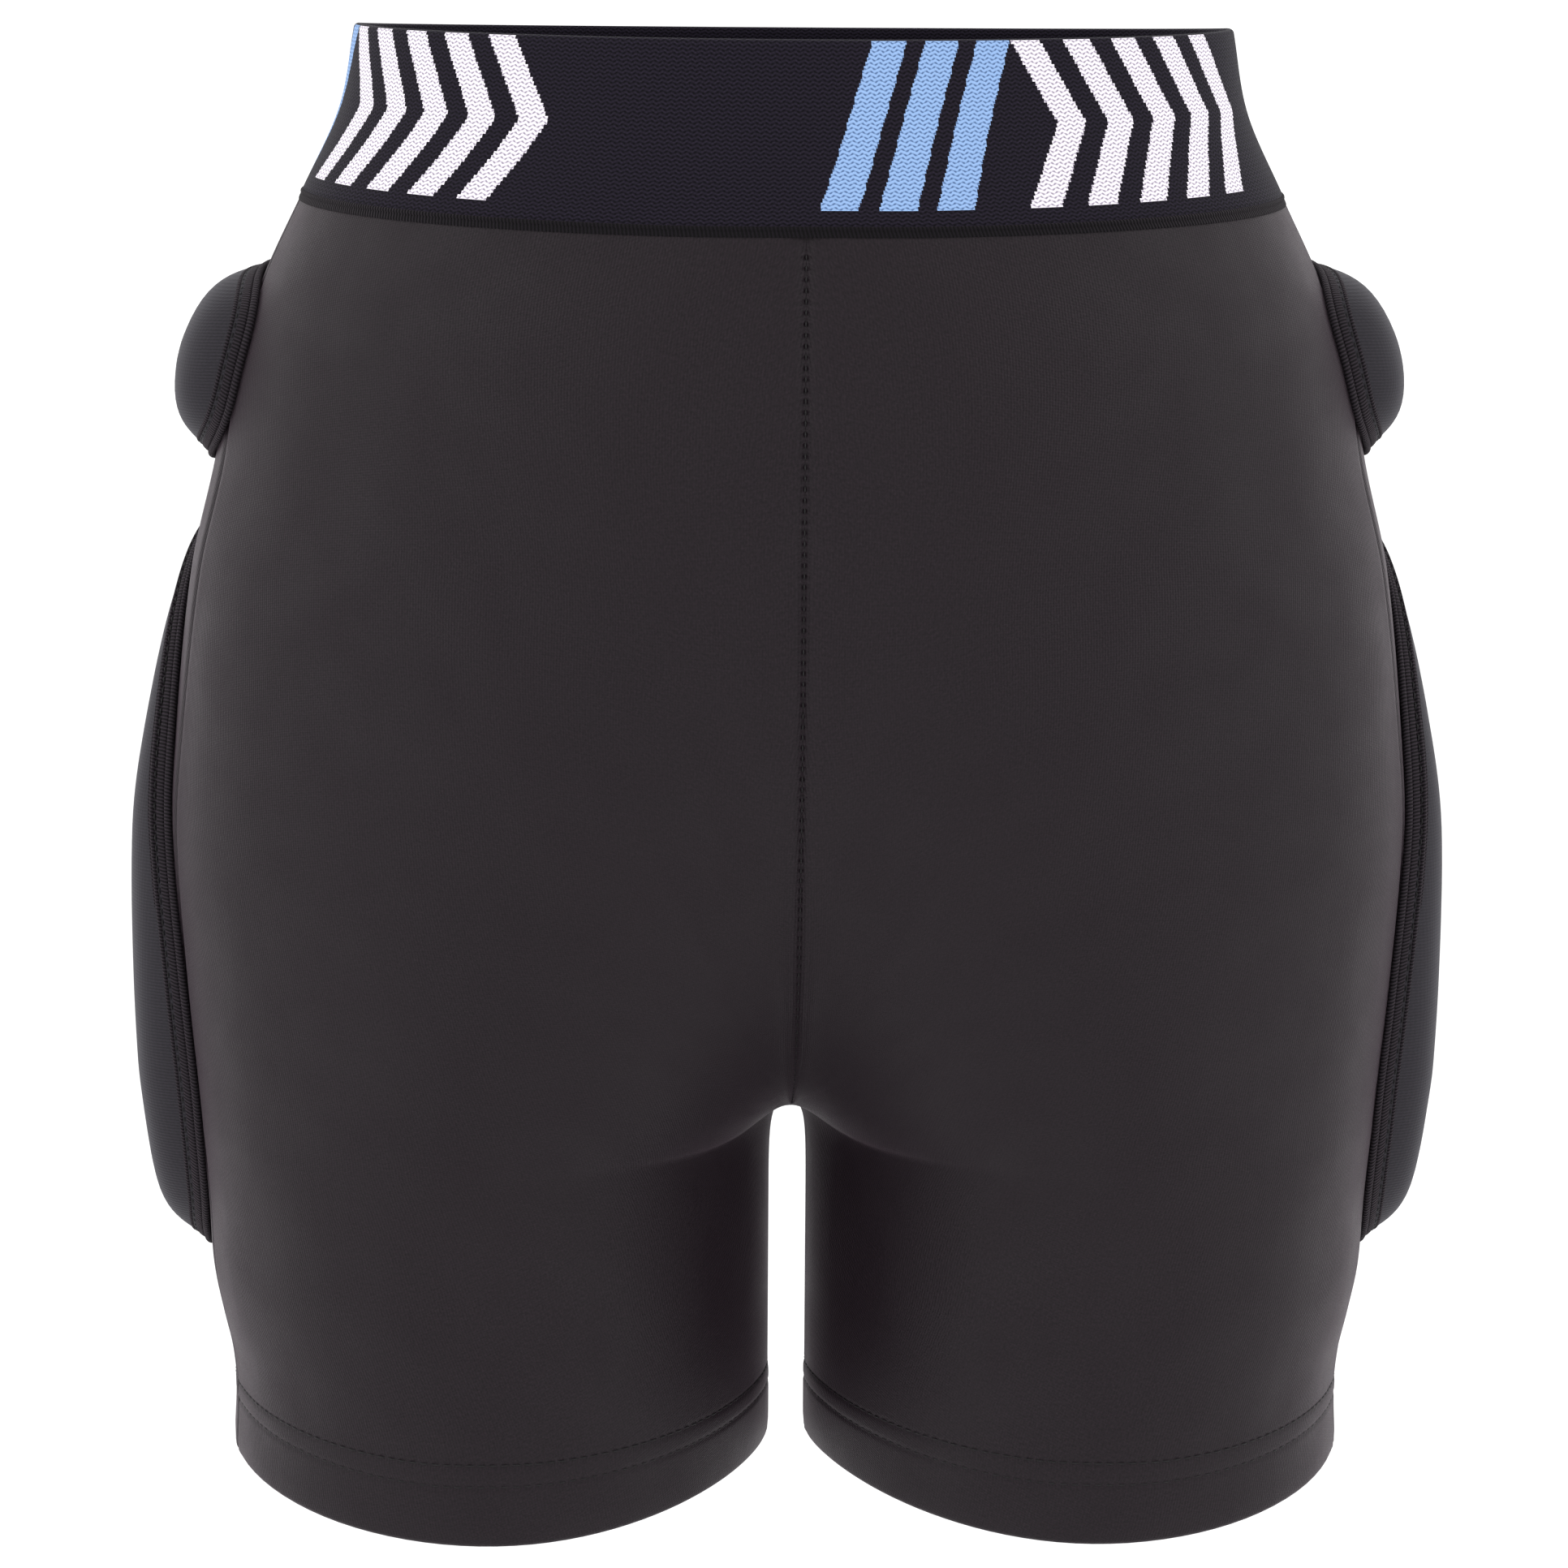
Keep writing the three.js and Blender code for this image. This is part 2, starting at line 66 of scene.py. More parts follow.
# ---------------------------------------------------------------- sizes, in millimetres
TOP_H = -cad_box[0][2] * 1000.0  # waist edge over the hem
SEAM_H = TOP_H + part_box("waistband")[0][2] * 1000.0
RISE = 264.0
CROTCH_H = SEAM_H - RISE
WAIST_HALF = 122.5
SEAM_HALF = 138.4
THIGH_HALF = 176.5
CROTCH_HALF = 169.0
HEM_HALF = 160.0
LEG_GAP = 11.0
VALLEY = 8.0
SPREAD = 0.8
ARCH_DROP = 4.0
CLOTH = 1.6
SIDE_SEAM = math.radians(-13.0)
SIDE_SEAM_TOP = math.radians(-5.0)  # at the waistband
WRAP = 100.0  # turns a distance round the side into an angle
PANEL_RADIUS = 95.0  # the same for the width of a panel and its seam allowances
SEAM_GAP = 0.0002  # between two panels at the side, as an angle
SEAM_MEET = 0.02  # half the gap between two panels at the centre


def smooth(edge0, edge1, value):
    t = np.clip((np.asarray(value, float) - edge0) / (edge1 - edge0), 0.0, 1.0)
    return t * t * (3 - 2 * t)


def mix(a, b, t):
    return a + (b - a) * t


def curve_through(pairs):
    """A smooth curve through (position, value) pairs."""
    p = np.array(pairs, float)
    n = len(p)
    slope = np.array(
        [
            (p[min(i + 1, n - 1), 1] - p[max(i - 1, 0), 1])
            / (p[min(i + 1, n - 1), 0] - p[max(i - 1, 0), 0])
            for i in range(n)
        ]
    )

    def value(at):
        at = np.clip(np.asarray(at, float), p[0, 0], p[-1, 0])
        i = np.clip(np.searchsorted(p[:, 0], at, side="right") - 1, 0, n - 2)
        span = p[i + 1, 0] - p[i, 0]
        t = (at - p[i, 0]) / span
        bend = slope[i] * t * (1 - t) ** 2 - slope[i + 1] * t * t * (1 - t)
        return mix(p[i, 1], p[i + 1, 1], t * t * (3 - 2 * t)) + bend * span

    return value


# ---------------------------------------------------------------- the body's form
LEG_SHAPE = [(0, 0), (0.17, -0.08), (0.33, 0.06), (0.45, 0.33), (0.59, 0.62), (0.78, 0.76)]
HIP_SHAPE = [(0.32, 1), (0.42, 0.96), (0.6, 0.82), (0.71, 0.65), (0.83, 0.5), (0.92, 0.27)]
half_width = curve_through(
    [(h * CROTCH_H, mix(HEM_HALF, CROTCH_HALF, s)) for h, s in LEG_SHAPE]
    + [(CROTCH_H, CROTCH_HALF)]
    + [(CROTCH_H + 0.16 * RISE, mix(CROTCH_HALF, THIGH_HALF, 0.6))]
    + [(CROTCH_H + h * RISE, mix(SEAM_HALF, THIGH_HALF, s)) for h, s in HIP_SHAPE]
    + [(SEAM_H, SEAM_HALF)]
    + [((SEAM_H + TOP_H) / 2, mix(SEAM_HALF, WAIST_HALF, 0.7)), (TOP_H, WAIST_HALF)]
)
DEPTHS = [(84, 84), (91, 97), (99, 121), (97, 103), (90, 94)]
LEVELS = [0, CROTCH_H, CROTCH_H + 0.52 * RISE, SEAM_H, TOP_H]
depth = [
    curve_through([(level, pair[face]) for level, pair in zip(LEVELS, DEPTHS)])
    for face in (0, 1)
]


def section(h):
    outer = np.hypot(half_width(h), VALLEY)
    share = np.clip((h - CROTCH_H) / RISE, 0, 1) ** SPREAD
    above = VALLEY - (half_width(h) + VALLEY) * share
    opened = 1 - np.exp(np.minimum(h - CROTCH_H, 0) / ARCH_DROP)
    below = mix(VALLEY, math.hypot(LEG_GAP / 2, VALLEY), opened)
    inner = np.where(h >= CROTCH_H, above, below)
    return (outer + inner) / 2, (outer - inner) / 2


def end_angle(h):
    centre, radius = section(h)
    return np.arccos(np.clip((VALLEY - centre) / radius, -1, 1))


def side_depth(y, h):
    return np.where(y < 0, depth[0](h), depth[1](h))


def outside(x, y, h):
    centre, radius = section(h)
    return ((np.hypot(x, VALLEY) - centre) / radius) ** 2 + (y / side_depth(y, h)) ** 2


def normal(x, y, h):
    centre, radius = section(h)
    spread = np.hypot(x, VALLEY)
    n = np.stack(
        [
            2 * (spread - centre) * x / (radius**2 * spread),
            2 * y / side_depth(y, h) ** 2,
            outside(x, y, h + 0.5) - outside(x, y, h - 0.5),
        ],
        -1,
    )
    return n / np.linalg.norm(n, axis=-1, keepdims=True)


def shell(angle, h, lift=0.0):
    """Point on the wearer's left half. Angle 0 is the side line, negative is forward."""
    angle, h, lift = np.broadcast_arrays(
        np.asarray(angle, float), np.asarray(h, float), np.asarray(lift, float)
    )
    centre, radius = section(h)
    spread = np.maximum(centre + radius * np.cos(angle), VALLEY)
    x = np.sqrt(spread**2 - VALLEY**2)
    y = np.where(angle < 0, -depth[0](h), depth[1](h)) * np.abs(np.sin(angle))
    return np.stack([x, y, h], -1) + normal(x, y, h) * lift[..., None]


def face_point(x, h, face, lift=0.0, level=False):
    """Point on the front (0) or back (1) at a distance from the centre plane."""
    x, h, lift = np.broadcast_arrays(
        np.asarray(x, float), np.asarray(h, float), np.asarray(lift, float)
    )
    centre, radius = section(h)
    across = (np.hypot(x, VALLEY) - centre) / radius
    y = np.where(np.asarray(face) == 0, -depth[0](h), depth[1](h))
    y = y * np.sqrt(np.maximum(1 - across**2, 0))
    n = normal(np.abs(x), y, h)
    n[..., 0] *= np.where(x < 0, -1, 1)
    if level:
        n[..., 2] = 0
        n /= np.linalg.norm(n, axis=-1, keepdims=True)
    return np.stack([x, y, h], -1) + n * lift[..., None]


DIP_FROM = 235  # the front dips above this height
FRONT_REACH = 95.0
HEM_REACH = 84.0
HEM_SIDE_RISE = 9.4
HEM_CENTRE_DROP = 3.2
HEM_FADE = 62
ARCH_RISE, ARCH_WIDTH, ARCH_HEIGHT = 4.2, 13.0, 16.0
DENT_DEPTH, DENT_WIDTH, DENT_HEIGHT, DENT_RISE = 5.5, 21.0, 24.0, 14
WAIST_PULL = 0.009  # share by which the cloth narrows just under the waistband
front_dip = curve_through([(DIP_FROM, 0), (300, 2.2), (SEAM_H, 7.2), (TOP_H, 4.5)])


def drape(points):
    """Where cloth really lies: the waist dips in front, the hems rise at the sides, and the
    stretched knit is never quite even. Millimetres over the hem in, metres in the row frame out."""
    p = np.array(points, float)
    x, y, h = p[..., 0], p[..., 1], p[..., 2]
    forward = np.clip(-y / FRONT_REACH, 0, 1) ** 1.15
    drop = front_dip(np.maximum(h, DIP_FROM)) * forward
    lift = HEM_SIDE_RISE * np.clip(1 - (y / HEM_REACH) ** 2, 0, 1) - HEM_CENTRE_DROP
    lift = lift * (1 - smooth(0, HEM_FADE, h))
    arch = np.exp(-((x / ARCH_WIDTH) ** 2)) * np.exp(-(((h - CROTCH_H) / ARCH_HEIGHT) ** 2))
    lift = lift + ARCH_RISE * arch
    wave = (
        0.45 * np.sin(x * 0.051 + h * 0.023 + 0.6)
        + 0.35 * np.sin(h * 0.047 - x * 0.031 + y * 0.02)
        + 0.25 * np.sin(x * 0.083 - h * 0.061 + 1.9)
    )
    out = np.sign(y) * wave * smooth(8, 60, np.abs(y)) * (1 - smooth(SEAM_H - 60, SEAM_H, h))
    dent = np.exp(-((x / DENT_WIDTH) ** 2))
    dent = DENT_DEPTH * dent * np.exp(-(((h - CROTCH_H - DENT_RISE) / DENT_HEIGHT) ** 2))
    p[..., 0] = x * (1 - WAIST_PULL * np.exp(-(((h - SEAM_H + 14) / 40.0) ** 2)))
    p[..., 1] = y + out - np.sign(y) * np.minimum(dent, np.abs(y) * 0.35)
    p[..., 2] = h - drop + lift - TOP_H
    return p * 0.001


# ---------------------------------------------------------------- mesh helpers
def make(name, verts, faces, corner_uv, material):
    mesh = bpy.data.meshes.new(name)
    mesh.from_pydata([tuple(v) for v in verts], [], faces)
    layer = mesh.uv_layers.new(name="UVMap")
    layer.data.foreach_set("uv", np.asarray(corner_uv, np.float32).ravel())
    mesh.polygons.foreach_set("use_smooth", [True] * len(mesh.polygons))
    mesh.materials.append(material)
    mesh.validate()
    obj = bpy.data.objects.new(name, mesh)
    bpy.context.scene.collection.objects.link(obj)
    return obj


def quads(rows, cols, wrap_rows=False, wrap_cols=False):
    """Vertex indices and uv-grid indices of the quads of a grid."""
    r = np.arange(rows if wrap_rows else rows - 1)
    c = np.arange(cols if wrap_cols else cols - 1)
    R, C = np.meshgrid(r, c, indexing="ij")
    corners = [(R, C), (R, C + 1), (R + 1, C + 1), (R + 1, C)]
    verts = np.stack([(a % rows) * cols + (b % cols) for a, b in corners], -1).reshape(-1, 4)
    grid = np.stack([a * (cols + 1) + b for a, b in corners], -1).reshape(-1, 4)
    return verts, grid


def grid_object(name, P, U, V, material, wrap_rows=False, wrap_cols=False, flip=False):
    """A grid of points. U and V have one more row and column than P, for the wrap."""
    rows, cols = P.shape[:2]
    verts, grid = quads(rows, cols, wrap_rows, wrap_cols)
    if flip:
        verts, grid = verts[:, ::-1], grid[:, ::-1]
    uv = np.stack([U.ravel()[grid], V.ravel()[grid]], -1)
    return make(name, P.reshape(-1, 3), verts.tolist(), uv.reshape(-1, 2), material)


def arc(P, axis):
    """Distance run along a grid of points in an axis, in centimetres if P is in metres."""
    step = np.linalg.norm(np.diff(P, axis=axis), axis=-1)
    start = np.zeros_like(np.take(step, [0], axis=axis))
    return np.concatenate([start, np.cumsum(step, axis=axis)], axis=axis) * 100.0


def padded_grid(A):
    """A uv grid with its last row and column repeated."""
    A = np.concatenate([A, A[-1:]], 0)
    return np.concatenate([A, A[:, -1:]], 1)


def mirrored(P):
    Q = np.array(P)
    Q[..., 0] *= -1
    return Q


def face_outward(obj):
    """Turns a closed body's faces outward, by its signed volume."""
    mesh = obj.data
    mesh.calc_loop_triangles()
    co = np.empty(len(mesh.vertices) * 3)
    mesh.vertices.foreach_get("co", co)
    co = co.reshape(-1, 3)
    tri = np.array([t.vertices[:] for t in mesh.loop_triangles])
    volume = np.einsum("ij,ij->i", co[tri[:, 0]], np.cross(co[tri[:, 1]], co[tri[:, 2]])).sum()
    if volume < 0:
        mesh.flip_normals()


def thread_row(name, path, normals, dash, gap, radius, material, sink=0.25):
    """Separate thread stitches along a path in metres, as one mesh."""
    length = np.concatenate([[0], np.cumsum(np.linalg.norm(np.diff(path, axis=0), axis=1))])
    starts = np.arange(0.0, length[-1] - dash, dash + gap)
    sides, rings = 6, 5
    k = np.linspace(0, 1, rings)
    at = starts[:, None] + dash * k[None, :]
    point = np.stack([np.interp(at, length, path[:, i]) for i in range(3)], -1)
    up = np.stack([np.interp(at, length, normals[:, i]) for i in range(3)], -1)
    up /= np.linalg.norm(up, axis=-1, keepdims=True)
    ahead = np.gradient(point, axis=1)
    ahead /= np.linalg.norm(ahead, axis=-1, keepdims=True)
    across = np.cross(ahead, up)
    arch = np.sin(np.pi * np.clip(k, 0.0, 1.0)) ** 0.6
    centre = point + up * (radius * (arch[None, :, None] * 1.2 - sink))
    size = radius * (0.45 + 0.55 * arch)
    turn_k = 2 * math.pi * np.arange(sides) / sides
    ring = (
        centre[:, :, None, :]
        + across[:, :, None, :] * (size[None, :, None] * np.cos(turn_k))[..., None]
        + up[:, :, None, :] * (size[None, :, None] * np.sin(turn_k))[..., None]
    )
    count = len(starts)
    verts = ring.reshape(-1, 3)
    faces, uv = [], []
    per = rings * sides
    for s in range(count):
        base = s * per
        for r in range(rings - 1):
            for i in range(sides):
                j = (i + 1) % sides
                low, high = base + r * sides, base + (r + 1) * sides
                faces.append([low + i, low + j, high + j, high + i])
                u0, u1 = k[r] * dash * 100, k[r + 1] * dash * 100
                v0, v1 = i / sides, (i + 1) / sides
                uv += [(u0, v0), (u0, v1), (u1, v1), (u1, v0)]
        faces.append([base + i for i in range(sides)])
        uv += [(0, 0)] * sides
        faces.append([base + (rings - 1) * sides + i for i in range(sides)][::-1])
        uv += [(0, 0)] * sides
    return make(name, verts, faces, uv, material)


# ---------------------------------------------------------------- materials
class Nodes:
    """A short way to write a node tree."""

    def __init__(self, name):
        self.material = bpy.data.materials.new(name)
        self.material.use_nodes = True
        self.tree = self.material.node_tree
        self.shader = self.tree.nodes["Principled BSDF"]
        self.uv = None

    def node(self, kind, **settings):
        n = self.tree.nodes.new(kind)
        for key, value in settings.items():
            setattr(n, key, value)
        return n

    def put(self, value, socket):
        if isinstance(value, bpy.types.NodeSocket):
            self.tree.links.new(value, socket)
        else:
            socket.default_value = value

    def math(self, op, a, b=0.0, c=0.0, clamp=False):
        n = self.node("ShaderNodeMath", operation=op, use_clamp=clamp)
        for value, socket in zip((a, b, c), n.inputs):
            self.put(value, socket)
        return n.outputs[0]

    def coords(self):
        """U and V in centimetres along the cloth."""
        if self.uv is None:
            source = self.node("ShaderNodeUVMap", uv_map="UVMap").outputs[0]
            split = self.node("ShaderNodeSeparateXYZ")
            self.put(source, split.inputs[0])
            self.uv = (source, split.outputs[0], split.outputs[1])
        return self.uv

    def noise(self, scale, detail=3.0, rough=0.5, vector=None, stretch=None):
        source = vector or self.coords()[0]
        if stretch:
            m = self.node("ShaderNodeMapping")
            self.put(source, m.inputs[0])
            m.inputs["Scale"].default_value = stretch
            source = m.outputs[0]
        n = self.node("ShaderNodeTexNoise")
        self.put(source, n.inputs["Vector"])
        n.inputs["Scale"].default_value = scale
        n.inputs["Detail"].default_value = detail
        n.inputs["Roughness"].default_value = rough
        return n.outputs["Fac"]

    def wave(self, value, pitch, phase=0.0):
        """A sine from 0 to 1 along a value, once per pitch."""
        turn = self.math("MULTIPLY_ADD", value, 2 * math.pi / pitch, phase)
        return self.math("MULTIPLY_ADD", self.math("SINE", turn), 0.5, 0.5)

    def mix(self, factor, a, b):
        n = self.node("ShaderNodeMix", data_type="RGBA", clamp_factor=True)
        self.put(factor, n.inputs[0])
        self.put(a, n.inputs[6])
        self.put(b, n.inputs[7])
        return n.outputs[2]

    def bump(self, height, strength, distance, below=None):
        n = self.node("ShaderNodeBump")
        n.inputs["Strength"].default_value = strength
        n.inputs["Distance"].default_value = distance
        self.put(height, n.inputs["Height"])
        if below is not None:
            self.put(below, n.inputs["Normal"])
        return n.outputs[0]

    def range(self, value, low, high, to_low=0.0, to_high=1.0):
        n = self.node("ShaderNodeMapRange", clamp=True)
        for v, socket in zip((value, low, high, to_low, to_high), n.inputs):
            self.put(v, socket)
        return n.outputs[0]

    def finish(self, color, roughness, normal=None, sheen=0.0, sheen_tint=None, spec=0.35,
               sheen_rough=0.4):
        s = self.shader.inputs
        self.put(color, s["Base Color"])
        self.put(roughness, s["Roughness"])
        s["Specular IOR Level"].default_value = spec
        s["Sheen Weight"].default_value = sheen
        s["Sheen Roughness"].default_value = sheen_rough
        if sheen_tint:
            s["Sheen Tint"].default_value = sheen_tint
        if normal is not None:
            self.put(normal, s["Normal"])
        return self.material


def linear(r, g, b):
    return tuple((v / 255.0) ** 2.2 for v in (r, g, b)) + (1.0,)


def shell_knit():
    """Satin warp knit: fine slanting ribs, a soft sheen, and faint cloudiness."""
    m = Nodes("shell_knit")
    _, u, v = m.coords()
    slant = m.math("ADD", u, m.math("MULTIPLY", v, 0.22))
    wobble = m.math("MULTIPLY", m.noise(1.3, 2), 0.05)
    ribs = m.wave(m.math("ADD", slant, wobble), 0.085)
    courses = m.wave(m.math("SUBTRACT", v, m.math("MULTIPLY", u, 0.35)), 0.07)
    grain = m.noise(15.0, 3, 0.62)
    clouds = m.noise(0.2, 4, 0.55)
    knit = m.math("ADD", m.math("MULTIPLY", ribs, 0.6), m.math("MULTIPLY", courses, 0.4))
    height = m.math("ADD", m.math("MULTIPLY", knit, 0.8), m.math("MULTIPLY", grain, 1.4))
    normal_out = m.bump(height, 0.42, 0.00026)
    dark = m.mix(clouds, linear(21.5, 15.5, 20.4), linear(28, 21, 26))
    pale = m.mix(m.range(grain, 0.38, 0.66), dark, linear(38, 29.8, 35.6))
    color = m.mix(m.math("MULTIPLY", knit, 0.4), pale, linear(13.5, 9.5, 12.8))
    rough = m.range(m.noise(0.5, 3), 0.3, 0.7, 0.5, 0.6)
    return m.finish(
        color, rough, normal_out,
        sheen=0.14, sheen_tint=(0.95, 0.74, 0.88, 1), spec=0.2, sheen_rough=0.32,
    )


def pad_knit():
    """Closer, cooler knit with fine level ribs, matt."""
    m = Nodes("pad_knit")
    _, u, v = m.coords()
    wobble = m.math("MULTIPLY", m.noise(1.1, 2), 0.08)
    ribs = m.wave(m.math("ADD", v, wobble), 0.088)
    columns = m.wave(u, 0.085)
    grain = m.noise(30.0, 3, 0.65)
    knit = m.math("ADD", m.math("MULTIPLY", ribs, 0.7), m.math("MULTIPLY", columns, 0.2))
    height = m.math("ADD", knit, m.math("MULTIPLY", grain, 0.55))
    normal_out = m.bump(height, 0.5, 0.0002)
    base = m.mix(m.noise(0.4, 3), linear(33, 31, 35.5), linear(41, 38.5, 44))
    speck = m.mix(m.range(grain, 0.35, 0.68), base, linear(50, 47, 53))
    color = m.mix(m.math("MULTIPLY", ribs, 0.55), speck, linear(22, 21, 25))
    return m.finish(
        color, 0.72, normal_out,
        sheen=0.1, sheen_tint=(0.8, 0.78, 0.88, 1), spec=0.22, sheen_rough=0.45,
    )


def overlock(name="binding_overlock", pitch=0.1, tint=(37, 33, 37)):
    """Crosswise thread ribs of an overlocked edge. U runs along the edge."""
    m = Nodes(name)
    _, u, v = m.coords()
    wobble = m.math("MULTIPLY", m.noise(3.0, 2), 0.03)
    lean = m.math("MULTIPLY", v, 0.25)
    ribs = m.wave(m.math("ADD", m.math("ADD", u, wobble), lean), pitch)
    fibres = m.noise(60.0, 2, 0.7, stretch=(1.0, 0.25, 1.0))
    height = m.math("ADD", m.math("MULTIPLY", ribs, 1.0), m.math("MULTIPLY", fibres, 0.35))
    normal_out = m.bump(height, 0.8, 0.0004)
    # painted shade: the tint is painted darker between the thread ribs and lighter on them
    color = m.mix(ribs, linear(*[c * 0.4 for c in tint]), linear(*[c * 1.4 for c in tint]))
    return m.finish(color, 0.8, normal_out, sheen=0.05, sheen_tint=(0.9, 0.72, 0.84, 1), spec=0.14)


def thread(name="stitch_thread", tint=(30, 27, 31)):
    m = Nodes(name)
    _, u, v = m.coords()
    twist = m.wave(m.math("ADD", u, m.math("MULTIPLY", v, 1.2)), 0.06)
    # painted shade: the thread's tint is painted darker in the twist's grooves and lighter on its raised
    # strands
    color = m.mix(twist, linear(*[c * 0.75 for c in tint]), linear(*[c * 1.3 for c in tint]))
    return m.finish(color, 0.55, m.bump(twist, 0.6, 0.0001), spec=0.4)


# The waistband's motif, in centimetres
MOTIF_PERIOD = 21.8  # round the waist
MOTIF_START = 0.6
MOTIF_BEFORE = 1.0  # how far the first bar leans out before its start
MOTIF_MIDDLE = 2.53
MOTIF_HALF = 2.13
ROW = 0.105  # one row of the weave
WARP_STEP = 0.045
BAR_LEAN = -0.36
CHEVRON_LEAN = 0.62
JOIN_CLEAR = (-33.4, 35.1)  # the motif stops here at the back join


def waistband_weave():
    """Woven elastic: wavy cross ridges, and a motif of slanted bars and chevrons whose edges
    step with the weave."""
    m = Nodes("waistband_weave")
    _, u, v = m.coords()
    # the motif follows the weave: whole rows, and steps of one warp thread
    odd = m.math("MODULO", m.math("FLOOR", m.math("DIVIDE", v, ROW)), 2.0)
    u_shift = m.math("ADD", u, m.math("MULTIPLY", odd, 0.065))
    u_q = m.math("MULTIPLY", m.math("FLOOR", m.math("DIVIDE", u, WARP_STEP)), WARP_STEP)
    v_q = m.math("MULTIPLY_ADD", m.math("FLOOR", m.math("DIVIDE", v, ROW)), ROW, ROW / 2)
    along = m.math("WRAP", m.math("SUBTRACT", u_q, MOTIF_START), MOTIF_PERIOD - MOTIF_BEFORE, -MOTIF_BEFORE)
    off = m.math("SUBTRACT", v_q, MOTIF_MIDDLE)
    inside_v = m.math("LESS_THAN", m.math("ABSOLUTE", off), MOTIF_HALF)
    lean = m.math("MULTIPLY_ADD", off, BAR_LEAN, along)
    peak = m.math("MULTIPLY_ADD", m.math("ABSOLUTE", off), CHEVRON_LEAN, along)

    def bars(position, centres, width):
        total = None
        for centre in centres:
            d = m.math("ABSOLUTE", m.math("SUBTRACT", position, centre))
            bar = m.math("LESS_THAN", d, width / 2)
            total = bar if total is None else m.math("MAXIMUM", total, bar)
        return m.math("MULTIPLY", total, inside_v)

    blue = bars(lean, (0.95, 2.45, 3.95), 0.98)
    white = bars(peak, (6.95, 8.6, 10.25, 11.9, 13.55), 0.9)
    # plain ground on each side of the join at the back
    place = m.math("MULTIPLY_ADD", m.math("ABSOLUTE", off), CHEVRON_LEAN, u_q)
    before = m.math("LESS_THAN", place, JOIN_CLEAR[1])
    after = m.math("GREATER_THAN", place, JOIN_CLEAR[0])
    white = m.math("MULTIPLY", white, m.math("MULTIPLY", before, after))
    # wavy cross ridges, their colour painted lighter on the crests and darker in the grooves (painted
    # shade)
    sway = m.math("MULTIPLY", m.wave(u, 0.26), 0.05)
    ridge = m.wave(m.math("ADD", v, sway), ROW)
    warp = m.wave(u_shift, 0.13)
    fibres = m.noise(26.0, 3, 0.7)
    shade = m.math("MULTIPLY", m.math("ADD", ridge, m.math("MULTIPLY", warp, 0.45)), 0.69)
    # painted shade times a random fibre tone; the pale and sky motif colours are lit and shaded copies of
    # one white and one blue
    weave_shade_and_fibre_tone = m.math("MULTIPLY", shade, m.range(fibres, 0.3, 0.7, 0.55, 1.15))
    navy = m.mix(weave_shade_and_fibre_tone, linear(9, 8, 13), linear(43, 38, 50))
    pale = m.mix(m.range(weave_shade_and_fibre_tone, 0.1, 0.45), linear(150, 142, 158), linear(236, 230, 238))
    sky = m.mix(m.range(weave_shade_and_fibre_tone, 0.1, 0.45), linear(84, 108, 148), linear(144, 176, 222))
    color = m.mix(blue, navy, sky)
    color = m.mix(white, color, pale)
    height = m.math("ADD", shade, m.math("MULTIPLY", fibres, 0.4))
    raised = m.math("MULTIPLY_ADD", m.math("MAXIMUM", blue, white), 0.5, height)
    normal_out = m.bump(raised, 0.5, 0.00028)
    return m.finish(color, 0.85, normal_out, sheen=0.06, spec=0.12)


def plain_weave(name, light, dark, pitch):
    m = Nodes(name)
    _, u, v = m.coords()
    a = m.wave(u, pitch)
    b = m.wave(v, pitch)
    weave = m.math("MULTIPLY", m.math("ADD", a, b), 0.5)
    # painted shade: the weave is painted lighter where it is raised and darker where it is low
    color = m.mix(weave, linear(*dark), linear(*light))
    height = m.math("ADD", weave, m.math("MULTIPLY", m.noise(40.0, 2), 0.4))
    return m.finish(color, 0.8, m.bump(height, 0.5, 0.00015), sheen=0.1, spec=0.25)


SHELL = shell_knit()
PAD = pad_knit()
BINDING = overlock()
TRIM = overlock("band_edge_overlock", 0.1, (19, 16.5, 20))
THREAD = thread("stitch_thread", (20, 17.5, 20))
ALLOWANCE = overlock("seam_allowance_overlock", 0.14, (34, 30, 34))
BAND = waistband_weave()
LABEL = plain_weave("label_satin", (236, 232, 230), (205, 200, 200), 0.05)


# ---------------------------------------------------------------- shell panels
SIDES = (("left", False), ("right", True))
STITCH_ROWS = (17.4, 23.2)

leg_levels = np.unique(
    np.concatenate(
        [
            [0.0, 0.25, 0.8, 1.6, 3, 5, 8, 11, 13.5],
            np.arange(15.0, 26.0, 0.55),
            np.linspace(27.5, 60, 12),
        ]
    )
)
upper_t = np.linspace(0, 1, 20)[1:]
body_t = np.linspace(0, 1, 96)[1:]
row_side = np.concatenate(
    [leg_levels, 60 + (CROTCH_H - 60) * upper_t, CROTCH_H + (RISE + 4) * body_t]
)
row_end = np.concatenate(
    [
        leg_levels,
        60 + (CROTCH_H - 60) * (1 - (1 - upper_t) ** 2.2),
        CROTCH_H + (RISE + 4) * body_t**2.2,
    ]
)
column_t = 1 - (1 - np.linspace(0, 1, 50)) ** 1.3
near_seam = np.array([0.003, 0.007, 0.012, 0.02])
column_t = np.unique(np.concatenate([column_t, near_seam, 1 - near_seam]))


def seam_relief(h, edge_distance):
    """How far the cloth is drawn in by a seam at its edge and by the hem's stitch rows."""
    drawn = -0.5 * np.exp(-((edge_distance / 0.9) ** 2))
    drawn = drawn + 0.15 * np.exp(-(((edge_distance - 2.8) / 1.5) ** 2))
    for row in STITCH_ROWS:
        drawn = drawn - 0.3 * np.exp(-(((h - row) / 0.8) ** 2))
    drawn = drawn + 0.3 * smooth(26, 20, h) * smooth(1.0, 6.0, h)
    return drawn


def side_seam(h):
    return mix(SIDE_SEAM, SIDE_SEAM_TOP, smooth(SEAM_H - 80, SEAM_H - 5, h))


